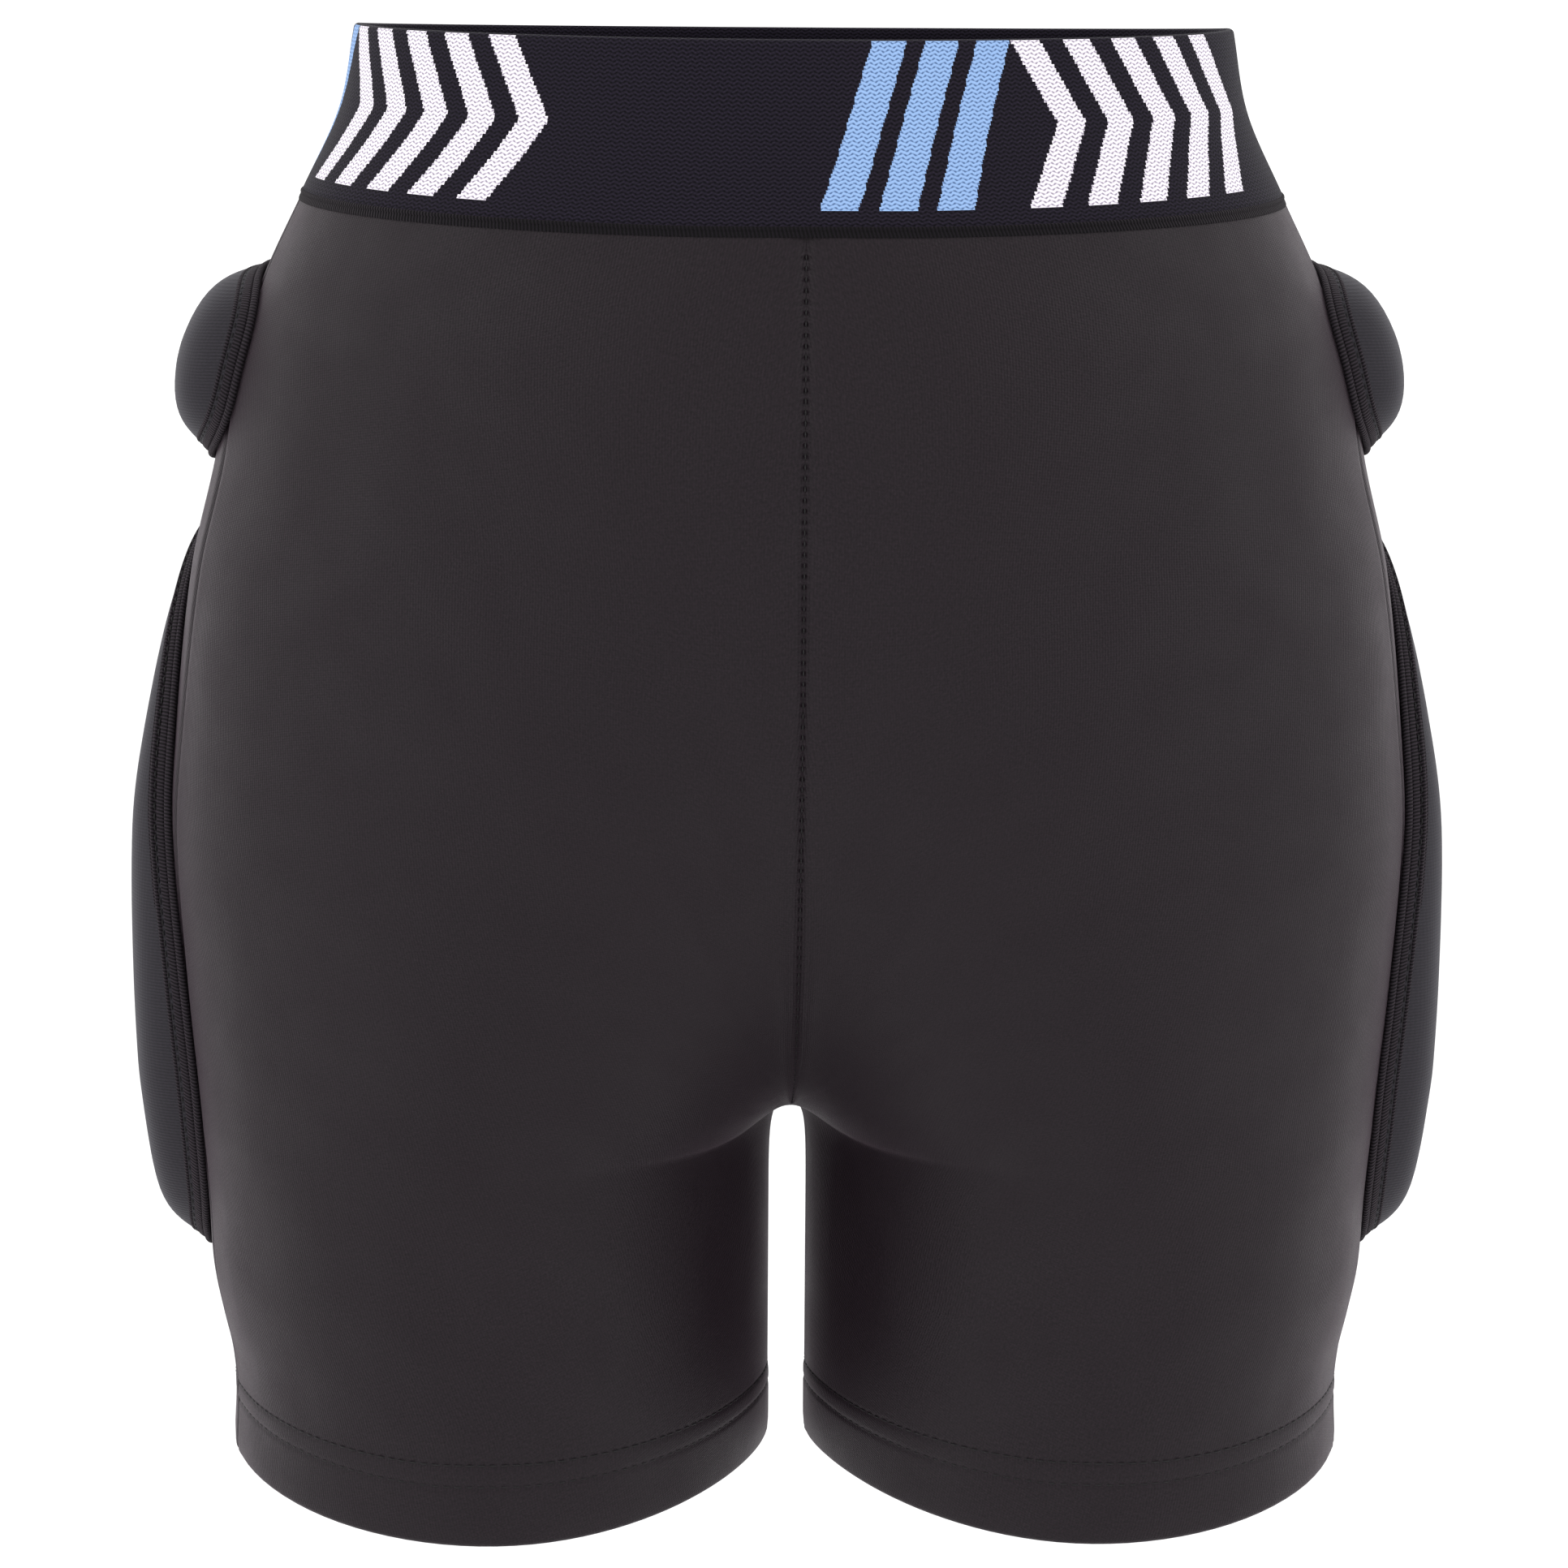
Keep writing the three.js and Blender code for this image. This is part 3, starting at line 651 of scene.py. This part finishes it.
def panel_points(face):
    sign = -1 if face == 0 else 1
    gap = sign * SEAM_GAP
    T, S = np.meshgrid(column_t, row_side)
    start = gap + side_seam(S)
    E = np.broadcast_to(row_end[:, None], S.shape)
    h = mix(S, E, T * T)
    finish_angle = sign * end_angle(E)
    angle = mix(start, finish_angle, T)
    width = np.abs(finish_angle - start) * PANEL_RADIUS
    edge = np.minimum(T, 1 - T) * width
    lift = seam_relief(h, edge)
    # the fold at the hem rounds inward
    lift = lift - 1.5 * (1 - np.clip(h / 1.6, 0, 1)) ** 2
    outer = shell(angle, h, lift)
    inner = shell(angle, h, np.minimum(lift, 0) - CLOTH)
    for grid in (outer, inner):
        grid[:, -1, 0] = np.maximum(grid[:, -1, 0], SEAM_MEET)
        grid[:, -1, 1] = sign * np.maximum(sign * grid[:, -1, 1], SEAM_MEET)
    return outer, inner


def slab(name, outer, inner, material):
    """A sheet of cloth between two grids, closed round its edge."""
    rows, cols = outer.shape[:2]
    U, V = arc(outer, 1), arc(outer, 0)
    V = np.broadcast_to(V[:, :1], V.shape)
    verts, _ = quads(rows, cols)
    n = rows * cols
    rim = (
        [c for c in range(cols)]
        + [r * cols + cols - 1 for r in range(1, rows)]
        + [(rows - 1) * cols + c for c in range(cols - 2, -1, -1)]
        + [r * cols for r in range(rows - 2, 0, -1)]
    )
    edge = [[rim[i], rim[i - 1], rim[i - 1] + n, rim[i] + n] for i in range(len(rim))]
    faces = verts.tolist() + (verts[:, ::-1] + n).tolist() + edge
    uv = np.stack([U.ravel(), V.ravel()], -1)
    both = np.concatenate([uv, uv])
    corner = both[np.array(faces).ravel()]
    points = np.concatenate([outer.reshape(-1, 3), inner.reshape(-1, 3)])
    obj = make(name, points, faces, corner, material)
    face_outward(obj)
    return obj


leg_pieces = {"left": [], "right": []}

for face, label in ((0, "front"), (1, "back")):
    outer, inner = panel_points(face)
    outer, inner = drape(outer), drape(inner)
    for side, flip in SIDES:
        o, i = (mirrored(outer), mirrored(inner)) if flip else (outer, inner)
        obj = slab(f"{label}_panel_cloth_{side}", o, i, SHELL)
        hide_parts(f"{label}_panel_{side}")
        leg_pieces[side].append(obj)


# overlocked seam allowances inside the side seams and the centre seams
ALLOWANCE_HALF = 3.6
across = np.linspace(-ALLOWANCE_HALF, ALLOWANCE_HALF, 7)[None, :]
h_line = np.linspace(28, SEAM_H - 3, 90)[:, None]
turn_line = side_seam(h_line) + across / PANEL_RADIUS
outer, inner = drape(shell(turn_line, h_line, -1.85)), drape(shell(turn_line, h_line, -2.7))
for side, flip in SIDES:
    o, i = (mirrored(outer), mirrored(inner)) if flip else (outer, inner)
    obj = slab(f"side_seam_allowance_{side}", o, i, ALLOWANCE)
    leg_pieces[side].append(obj)
h_line = np.linspace(CROTCH_H + 14, SEAM_H - 3, 70)[:, None]
for face, label in ((0, "front"), (1, "back")):
    outer = drape(face_point(across, h_line, face, -2.0))
    inner = drape(face_point(across, h_line, face, -2.9))
    obj = slab(f"centre_{label}_seam_allowance", outer, inner, ALLOWANCE)
    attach(obj, "seat")


# ---------------------------------------------------------------- turned-up hem
def hem_points():
    turns = np.linspace(-math.pi, math.pi, 121)[:-1] + math.pi / 120
    profile = [(26, -1.75), (25.6, -2.1), (20, -2.5), (10, -2.6), (4, -2.7), (1.2, -2.6)]
    profile += [(0.25, -2.2), (0.1, -1.7), (1.2, -1.66), (10, -1.68), (25, -1.7)]
    return np.stack([shell(turns, h, lift) for h, lift in profile])


hem = drape(hem_points())
U = padded_grid(arc(hem, 1))
V = padded_grid(arc(hem, 0))
U[:, -1] = U[:, -2] + 0.4
for side, flip in SIDES:
    obj = grid_object(f"leg_hem_fold_{side}", mirrored(hem) if flip else hem, U, V, SHELL, True, True)
    face_outward(obj)
    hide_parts(f"leg_hem_{side}")
    leg_pieces[side].append(obj)


# ---------------------------------------------------------------- waistband
BAND_TURNS = 300
turn = math.pi / 2 + 2 * math.pi * np.arange(BAND_TURNS) / BAND_TURNS


def waist_ring(h, offset):
    h = np.broadcast_to(np.asarray(h, float), turn.shape)
    x = half_width(h) * np.cos(turn)
    front = np.where(np.sin(turn) < 0, 0, 1)
    points = face_point(np.abs(x), h, front, offset, level=True)
    points[..., 0] *= np.where(x < 0, -1, 1)
    return points


def band_profile():
    """Heights and offsets round the band's section, from the lower outer edge upward."""
    high = TOP_H - SEAM_H
    outside_rows = [(v, 0.45) for v in np.linspace(0.5, high - 0.9, 24)]
    top = [(high - 0.35, 0.2), (high - 0.05, -0.3), (high, -0.9), (high - 0.1, -1.4)]
    top += [(high - 0.6, -1.8)]
    inside_rows = [(v, -1.9) for v in np.linspace(high - 2, 2, 12)]
    low = [(0.4, -1.6), (-0.1, -0.8), (-0.15, 0.1), (0.1, 0.4)]
    return outside_rows + top + inside_rows + low


band = np.stack([waist_ring(SEAM_H + v, offset) for v, offset in band_profile()])
band = drape(band)
around = arc(band[8:9], 1)[0]
whole = around[-1] + np.linalg.norm(band[8, 0] - band[8, -1]) * 100
u_line = np.append(around, whole) - whole / 2
U = np.broadcast_to(u_line, (len(band) + 1, BAND_TURNS + 1))
v_line = np.append(arc(band[:, :1], 0)[:, 0], 0)
v_line[-1] = v_line[-2] + 0.05
V = np.broadcast_to(v_line[:, None], U.shape)
obj = grid_object("waistband_elastic", band, U.copy(), V.copy(), BAND, True, True)
face_outward(obj)
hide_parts("waistband")
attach(obj, "seat")

# the join of the elastic at the back, held by two rows of stitches
level = SEAM_H + np.linspace(1.5, TOP_H - SEAM_H - 1.5, 60)
for number, x in enumerate((-3.2, 3.2), 1):
    base = drape(face_point(np.full_like(level, x), level, 1, 0.55, level=True))
    n = drape(face_point(np.full_like(level, x), level, 1, 1.55, level=True)) - base
    n /= np.linalg.norm(n, axis=-1, keepdims=True)
    obj = thread_row(f"waistband_join_stitch_{number}", base, n, 0.0022, 0.0008, 0.0003, THREAD)
    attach(obj, "seat")

trim_profile = [(-2.6, 0.0), (-2.5, 0.25), (-2.0, 0.4), (-1.2, 0.42), (-0.7, 0.4), (-0.45, 0.7)]
trim_profile += [(0.0, 0.85), (0.4, 0.75), (0.5, 0.4), (-0.3, 0.1), (-1.6, 0.0)]
trim = drape(np.stack([waist_ring(SEAM_H + v, offset) for v, offset in trim_profile]))
U = np.broadcast_to(u_line, (len(trim) + 1, BAND_TURNS + 1)).copy()
V = padded_grid(arc(trim, 0)[:, :1] * np.ones((1, BAND_TURNS)))
obj = grid_object("waistband_edge_overlock", trim, U, V, TRIM, True, True)
face_outward(obj)
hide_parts("waistband_seam_trim")
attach(obj, "seat")


# ---------------------------------------------------------------- stitches
def path_on_shell(angles, heights, lift):
    base = drape(shell(angles, heights, lift))
    high = drape(shell(angles, heights, lift + 1.0))
    n = high - base
    return base, n / np.linalg.norm(n, axis=-1, keepdims=True)


def mirror_pair(path, normals, flip):
    return (mirrored(path), mirrored(normals)) if flip else (path, normals)


ring_angles = np.linspace(-math.pi, math.pi, 260)
for number, row in enumerate(STITCH_ROWS, 1):
    path, n = path_on_shell(ring_angles, np.full_like(ring_angles, row), -0.22)
    for side, flip in SIDES:
        p, q = mirror_pair(path, n, flip)
        obj = thread_row(f"hem_topstitch_{number}_{side}", p, q, 0.0027, 0.0005, 0.00024, THREAD)
        leg_pieces[side].append(obj)

# needle marks of the centre-front and centre-back seams
seam_t = np.linspace(0.0, 1, 160)
seam_h = CROTCH_H + 3 + (RISE - 8) * seam_t
for face, label in ((0, "front"), (1, "back")):
    base = drape(face_point(np.full_like(seam_h, 0.0), seam_h, face, -0.5))
    high = drape(face_point(np.full_like(seam_h, 0.0), seam_h, face, 0.5))
    n = high - base
    n /= np.linalg.norm(n, axis=-1, keepdims=True)
    obj = thread_row(f"centre_{label}_seam_stitch", base, n, 0.0015, 0.0014, 0.00022, THREAD)
    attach(obj, "seat")


# ---------------------------------------------------------------- pads
def swell(obj, pressure, cap, held, steps=20):
    """Fills a closed shape with air as sewn cloth would hold it, within a cap."""
    scene = bpy.context.scene
    mesh = obj.data
    before = np.empty(len(mesh.vertices) * 3)
    mesh.vertices.foreach_get("co", before)
    before = before.reshape(-1, 3)
    group = obj.vertex_groups.new(name="pin")
    group.add([int(i) for i in np.nonzero(held)[0]], 1.0, "REPLACE")
    cloth = obj.modifiers.new("cloth", "CLOTH")
    cloth.settings.quality = 6
    cloth.settings.mass = 0.25
    cloth.settings.tension_stiffness = 18
    cloth.settings.compression_stiffness = 18
    cloth.settings.bending_stiffness = 1.2
    cloth.settings.use_pressure = True
    cloth.settings.uniform_pressure_force = pressure
    cloth.settings.effector_weights.gravity = 0
    cloth.settings.vertex_group_mass = "pin"
    cloth.point_cache.frame_start = 1
    cloth.point_cache.frame_end = steps
    for f in range(1, steps + 1):
        scene.frame_set(f)
    graph = bpy.context.evaluated_depsgraph_get()
    moved = bpy.data.meshes.new_from_object(obj.evaluated_get(graph))
    after = np.empty(len(moved.vertices) * 3)
    moved.vertices.foreach_get("co", after)
    after = after.reshape(-1, 3)
    obj.modifiers.clear()
    scene.frame_set(1)
    shift = after - before
    far = np.linalg.norm(shift, axis=1, keepdims=True)
    shift *= np.minimum(1, cap / np.maximum(far, 1e-9))
    obj.data.vertices.foreach_set("co", (before + shift).ravel())
    obj.vertex_groups.clear()
    return obj


def refine(obj):
    fine = obj.modifiers.new("fine", "SUBSURF")
    fine.levels = 1
    graph = bpy.context.evaluated_depsgraph_get()
    mesh = bpy.data.meshes.new_from_object(obj.evaluated_get(graph))
    obj.modifiers.clear()
    obj.data = mesh


SQUARENESS = 2.8


def outline(half_across, half_up, count):
    t = 2 * math.pi * np.arange(count) / count
    c, s = np.cos(t), np.sin(t)
    return (
        half_across * np.sign(c) * np.abs(c) ** (2 / SQUARENESS),
        half_up * np.sign(s) * np.abs(s) ** (2 / SQUARENESS),
    )


# middle, half width, height and roundness of each ridge, as shares of the wall
CORDS = ((0.15, 0.15, 1.15, 0.5), (0.47, 0.16, 0.6, 0.3), (0.83, 0.085, 0.7, 0.5))


def cord_bulge(s):
    """Section of the wall: an outer cord, a flat overlocked strip, a stitched groove, a lip."""
    for centre, half, size, power in CORDS:
        reach = 1 - ((s - centre) / half) ** 2
        if reach > 0:
            return size * reach**power
    return -0.15


# How far the cover's outline lies outside the wall's inner edge, and its climb to the crown.
COVER_PROFILE = [(2.4, 0.0), (1.2, 0.14), (-0.4, 0.34), (-2.4, 0.54)]
COVER_PROFILE += [(-5.0, 0.72), (-8.5, 0.86), (-13.0, 0.95), (-17.5, 0.99)]
COVER_SLACK = 1.6  # the crown before it is filled, under the pad's thickness
COVER_BASE = 0.9  # the cover's underside over the panels
AIR_PRESSURE = 4.0
SWELL_CAP = 0.0024  # metres
STITCH_GROOVE = 0.685
FLANGE_PROFILE = [(s, cord_bulge(s)) for s in np.linspace(0, 1, 34)]


class Pad:
    def __init__(self, name, half_across, half_up, flange, rise, thickness, place):
        self.name = name
        self.half_across = half_across
        self.half_up = half_up
        self.flange = flange
        self.rise = rise
        self.thickness = thickness
        self.place = place

    def wall(self, up):
        """Height of the corded wall round the pad, lower where the pad is thin."""
        return np.minimum(self.rise, 0.52 * self.thickness(up))


def pad_cover(pad):
    """The foam-filled cover: a crowned form that starts inside the corded wall. Also gives the
    points that the seam and the underside hold still while it is filled."""
    count = 110
    reach_a, reach_b = pad.half_across - pad.flange, pad.half_up - pad.flange
    rows = []
    for out, climb in COVER_PROFILE:
        a, b = outline(reach_a + out, reach_b + out, count)
        wall, crown = pad.wall(b), pad.thickness(b) - COVER_SLACK
        rows.append(pad.place(a, b, 0.6 * wall + (crown - 0.6 * wall) * climb))
    crown_a, crown_b = reach_a + COVER_PROFILE[-1][0], reach_b + COVER_PROFILE[-1][0]
    for share in np.linspace(0.9, 0.1, 9):
        a, b = outline(crown_a * share, crown_b * share, count)
        rows.append(pad.place(a, b, pad.thickness(b) - COVER_SLACK + 0.3 * (1 - share)))
    top = pad.place(np.zeros(1), np.zeros(1), np.array([pad.thickness(np.zeros(1))[0] - 1.3]))[0]
    low_rows = []
    for share in (0.22, 0.45, 0.7, 0.88, 1.0):
        a, b = outline((reach_a + 2.0) * share, (reach_b + 2.0) * share, count)
        low_rows.append(pad.place(a, b, np.full(count, COVER_BASE)))
    low = pad.place(np.zeros(1), np.zeros(1), np.array([COVER_BASE]))[0]
    P = np.stack(rows[::-1] + low_rows[::-1])
    verts, _ = quads(P.shape[0], count, False, True)
    n = P.shape[0] * count
    faces = verts.tolist()
    faces += [[n, (i + 1) % count, i] for i in range(count)]
    base = n - count
    faces += [[n + 1, base + i, base + (i + 1) % count] for i in range(count)]
    points = drape(np.concatenate([P.reshape(-1, 3), [top], [low]]))
    corner = [(0, 0)] * sum(len(f) for f in faces)
    obj = make(pad.name + "_cover_cloth", points, faces, corner, PAD)
    face_outward(obj)
    held = np.ones(len(points), bool)
    held[: (len(rows) - 1) * count] = False
    held[n] = False
    return obj, held


def keep_off_shell(obj, pad):
    """Lifts any point of the cover that sank below the pad's underside."""
    shares = np.linspace(0.0, 1.0, 56)
    a, b = outline(pad.half_across, pad.half_up, 180)
    a, b = np.outer(shares, a).ravel(), np.outer(shares, b).ravel()
    base = drape(pad.place(a, b, np.full(a.shape, 0.9)))
    up = drape(pad.place(a, b, np.full(a.shape, 1.9))) - base
    up /= np.linalg.norm(up, axis=-1, keepdims=True)
    tree = KDTree(len(base))
    for i, point in enumerate(base):
        tree.insert(point, i)
    tree.balance()
    for vertex in obj.data.vertices:
        i = tree.find(vertex.co)[1]
        depth = float(np.dot(np.array(vertex.co) - base[i], up[i]))
        if depth < 0:
            vertex.co -= Vector(up[i] * depth)


def pad_uv(obj):
    """Cloth coordinates in centimetres from where each point lies: U round the body, V up it."""
    mesh = obj.data
    co = np.empty(len(mesh.vertices) * 3)
    mesh.vertices.foreach_get("co", co)
    co = co.reshape(-1, 3)
    around = np.arctan2(co[:, 1], np.abs(co[:, 0])) * 14.0
    uv = np.stack([around, co[:, 2] * 100.0], -1)
    loops = np.empty(len(mesh.loops), int)
    mesh.loops.foreach_get("vertex_index", loops)
    for old in list(mesh.uv_layers):
        mesh.uv_layers.remove(old)
    layer = mesh.uv_layers.new(name="UVMap")
    layer.data.foreach_set("uv", uv[loops].astype(np.float32).ravel())
    mesh.polygons.foreach_set("use_smooth", [True] * len(mesh.polygons))


def flange_points(pad):
    """The corded wall: three overlocked cords one above another up a slanting side."""
    count = 300
    rows = []
    for s, bulge in FLANGE_PROFILE:
        out = (1 - s) * pad.flange + 0.75 * bulge
        a, b = outline(pad.half_across - pad.flange + out, pad.half_up - pad.flange + out, count)
        rows.append(pad.place(a, b, 0.35 + pad.wall(b) * s + 0.45 * bulge))
    for inset, share in ((1.4, 0.98), (2.0, 0.6), (1.4, 0.15)):
        a, b = outline(pad.half_across - pad.flange - inset, pad.half_up - pad.flange - inset, count)
        rows.append(pad.place(a, b, 0.35 + pad.wall(b) * share))
    return drape(np.stack(rows))


def flange_stitches(pad):
    """Needle stitches along the groove of the corded wall."""
    count = 400
    rings = []
    for raised in (0.0, 1.0):
        out = (1 - STITCH_GROOVE) * pad.flange + 0.7 * raised
        a, b = outline(pad.half_across - pad.flange + out, pad.half_up - pad.flange + out, count)
        rings.append(drape(pad.place(a, b, 0.4 + pad.wall(b) * STITCH_GROOVE + 0.7 * raised)))
    path = np.concatenate([rings[0], rings[0][:1]])
    n = np.concatenate([rings[1], rings[1][:1]]) - path
    n /= np.linalg.norm(n, axis=-1, keepdims=True)
    return path, n


def add_pad(pad, side="", flip=False):
    """A pad's cover, corded wall and stitches, on the wearer's left unless flipped."""
    cover, held = pad_cover(pad)
    swell(cover, AIR_PRESSURE, SWELL_CAP, held)
    refine(cover)
    keep_off_shell(cover, pad)
    pad_uv(cover)
    ring = flange_points(pad)
    path, up = flange_stitches(pad)
    U = padded_grid(arc(ring, 1))
    U[:, -1] = U[:, -2] + (U[:, -2] - U[:, -3])
    U = np.broadcast_to(U[12:13], U.shape).copy()
    V = padded_grid(arc(ring, 0))
    V = np.broadcast_to(V[:, :1], V.shape).copy()
    suffix = f"_{side}" if side else ""
    if flip:
        co = np.empty(len(cover.data.vertices) * 3)
        cover.data.vertices.foreach_get("co", co)
        co = co.reshape(-1, 3)
        co[:, 0] *= -1
        cover.data.vertices.foreach_set("co", co.ravel())
        cover.data.flip_normals()
    cover.name = f"{pad.name}_knit_cover{suffix}"
    cover.data.name = cover.name
    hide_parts(*[f"{pad.name}_{piece}{suffix}" for piece in ("cover", "core", "liner")])
    name = f"{pad.name}_corded_binding{suffix}"
    wall = grid_object(name, mirrored(ring) if flip else ring, U, V, BINDING, True, True)
    face_outward(wall)
    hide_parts(f"{pad.name}_binding{suffix}")
    p, q = mirror_pair(path, up, flip)
    name = f"{pad.name}_binding_stitch{suffix}"
    stitch = thread_row(name, p, q, 0.0021, 0.0009, 0.00028, THREAD)
    return [cover, wall, stitch]


HIP_HALF_UP = 28
THIGH_HALF_UP = 109
TAIL_HALF_UP = 58
HIP_DROP = 21  # under the waistband's edge
TAIL_DROP = 38
PAD_SPACING = 10  # between the hip pad and the thigh pad
HIP_CENTRE = SEAM_H - HIP_DROP - HIP_HALF_UP
THIGH_CENTRE = HIP_CENTRE - HIP_HALF_UP - PAD_SPACING - THIGH_HALF_UP
TAIL_CENTRE = SEAM_H - TAIL_DROP - TAIL_HALF_UP
# the left pads sit a little apart from the right ones
LEFT_HIP_RAISED = 1.8
LEFT_THIGH_FORWARD = 2.5

def hip_pad(raised):
    return Pad(
        "hip_pad", 53, HIP_HALF_UP, 4.6, 6.2,
        lambda up: np.full(np.shape(up), 17.2),
        lambda a, b, lift: shell((27 + a) / WRAP, HIP_CENTRE + raised + b, lift),
    )


def thigh_pad(forward):
    return Pad(
        "thigh_pad", 54, THIGH_HALF_UP, 4.8, 6.2,
        lambda up: mix(18.2, 7.0, np.clip((np.asarray(up) / 218 + 0.25) / 0.75, 0, 1)),
        lambda a, b, lift: shell((34 - forward + a + 0.13 * b) / WRAP, THIGH_CENTRE + b, lift),
    )


tail_pad = Pad(
    "tailbone_pad", 48, TAIL_HALF_UP, 4.6, 5.4,
    lambda up: np.full(np.shape(up), 13.0),
    lambda a, b, lift: face_point(a, TAIL_CENTRE + b, 1, lift),
)

for side, flip in SIDES:
    for obj in add_pad(hip_pad(0.0 if flip else LEFT_HIP_RAISED), side, flip):
        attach(obj, "seat")
for side, flip in SIDES:
    leg_pieces[side] += add_pad(thigh_pad(0.0 if flip else LEFT_THIGH_FORWARD), side, flip)
for obj in add_pad(tail_pad):
    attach(obj, "seat")


# ---------------------------------------------------------------- care label, left blank
xs = np.linspace(-17, 17, 9)
hs = np.linspace(TOP_H - 8, TOP_H - 30, 7)
X, Hh = np.meshgrid(xs, hs)
outer = drape(face_point(X, Hh, 1, -2.3, level=True))
inner = drape(face_point(X, Hh, 1, -2.9, level=True))
obj = slab("care_label_blank", outer, inner, LABEL)
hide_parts("care_label")
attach(obj, "seat")


# ---------------------------------------------------------------- bodies
# Each piece on a leg has its transform baked into its mesh.
for side, flip in SIDES:
    for obj in leg_pieces[side]:
        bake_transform(obj)


# ---------------------------------------------------------------- floor, light and camera
def white(name, value, rough=0.9):
    m = Nodes(name)
    dull = value * 0.99
    color = m.mix(m.noise(8.0, 2), (value, value, value, 1), (dull, dull, dull, 1))
    return m.finish(color, rough, spec=0.1)


FLOOR_DROP = 0.35  # metres under the hem
bpy.ops.mesh.primitive_plane_add(size=16, location=(0, 0, cad_box[0][2] - FLOOR_DROP))
floor = bpy.context.object
floor.name = "floor"
floor.data.materials.append(white("floor_white", 0.93))

world = bpy.data.worlds.new("studio")
bpy.context.scene.world = world
world.use_nodes = True
sky = world.node_tree
backdrop = sky.nodes["Background"]


def sky_math(op, a, b):
    n = sky.nodes.new("ShaderNodeMath")
    n.operation = op
    for value, socket in zip((a, b), n.inputs):
        if isinstance(value, bpy.types.NodeSocket):
            sky.links.new(value, socket)
        else:
            socket.default_value = value
    return n.outputs[0]


# A white room, brighter at the sides, behind and overhead than in front.
toward = sky.nodes.new("ShaderNodeSeparateXYZ")
sky.links.new(sky.nodes.new("ShaderNodeTexCoord").outputs["Generated"], toward.inputs[0])
strength = sky_math("MULTIPLY", sky_math("ABSOLUTE", toward.outputs[0], 0.0), 0.75)
behind = sky_math("MULTIPLY", sky_math("MAXIMUM", toward.outputs[1], 0.0), 0.8)
overhead = sky_math("MULTIPLY", sky_math("MAXIMUM", toward.outputs[2], 0.0), 0.55)
strength = sky_math("ADD", strength, behind)
strength = sky_math("ADD", strength, overhead)
strength = sky_math("ADD", strength, 0.34)
seen = sky.nodes.new("ShaderNodeLightPath").outputs["Is Camera Ray"]
sky.links.new(sky_math("MAXIMUM", strength, seen), backdrop.inputs[1])
backdrop.inputs[0].default_value = (1, 1, 1, 1)


def area_light(name, place, aim, size, power, colour=(1, 1, 1)):
    data = bpy.data.lights.new(name, "AREA")
    data.shape = "RECTANGLE"
    data.size, data.size_y = size
    data.energy = power
    data.color = colour
    obj = bpy.data.objects.new(name, data)
    bpy.context.scene.collection.objects.link(obj)
    obj.location = place
    obj.rotation_euler = (Vector(aim) - Vector(place)).to_track_quat("-Z", "Y").to_euler()
    return obj


for number, (x, power) in enumerate(((-1.7, 12), (1.7, 11)), 1):
    area_light(f"side_softbox_{number}", (x, -0.9, 0.7), (0, 0, -0.2), (1.2, 1.6), power)
area_light("front_fill", (-0.3, -2.2, 0.6), (0, 0, -0.2), (1.4, 1.4), 4)

CAMERA_DISTANCE = 1.380
CAMERA_DOWN = math.radians(8.5)
CAMERA_ROUND = math.radians(-2.0)
CAMERA_ROLL = math.radians(0.36)
CAMERA_ASIDE = -0.0016
CAMERA_HEIGHT = 0.4035  # over the hem
FOCAL_PIXELS = 6000.0
PICTURE_PIXELS = 1932.0
camera_data = bpy.data.cameras.new("camera")
camera_data.sensor_width = 36.0
camera_data.lens = camera_data.sensor_width * FOCAL_PIXELS / PICTURE_PIXELS
camera = bpy.data.objects.new("camera", camera_data)
bpy.context.scene.collection.objects.link(camera)
camera.location = (
    CAMERA_DISTANCE * math.sin(CAMERA_ROUND) + CAMERA_ASIDE,
    -CAMERA_DISTANCE * math.cos(CAMERA_ROUND),
    cad_box[0][2] + CAMERA_HEIGHT,
)
sight = Vector(
    (
        -math.sin(CAMERA_ROUND) * math.cos(CAMERA_DOWN),
        math.cos(CAMERA_ROUND) * math.cos(CAMERA_DOWN),
        -math.sin(CAMERA_DOWN),
    )
)
turn_q = sight.to_track_quat("-Z", "Y")
camera.rotation_euler = (turn_q.to_matrix() @ Matrix.Rotation(CAMERA_ROLL, 3, "Z")).to_euler()
bpy.context.scene.camera = camera
bpy.context.scene.view_settings.view_transform = "Standard"
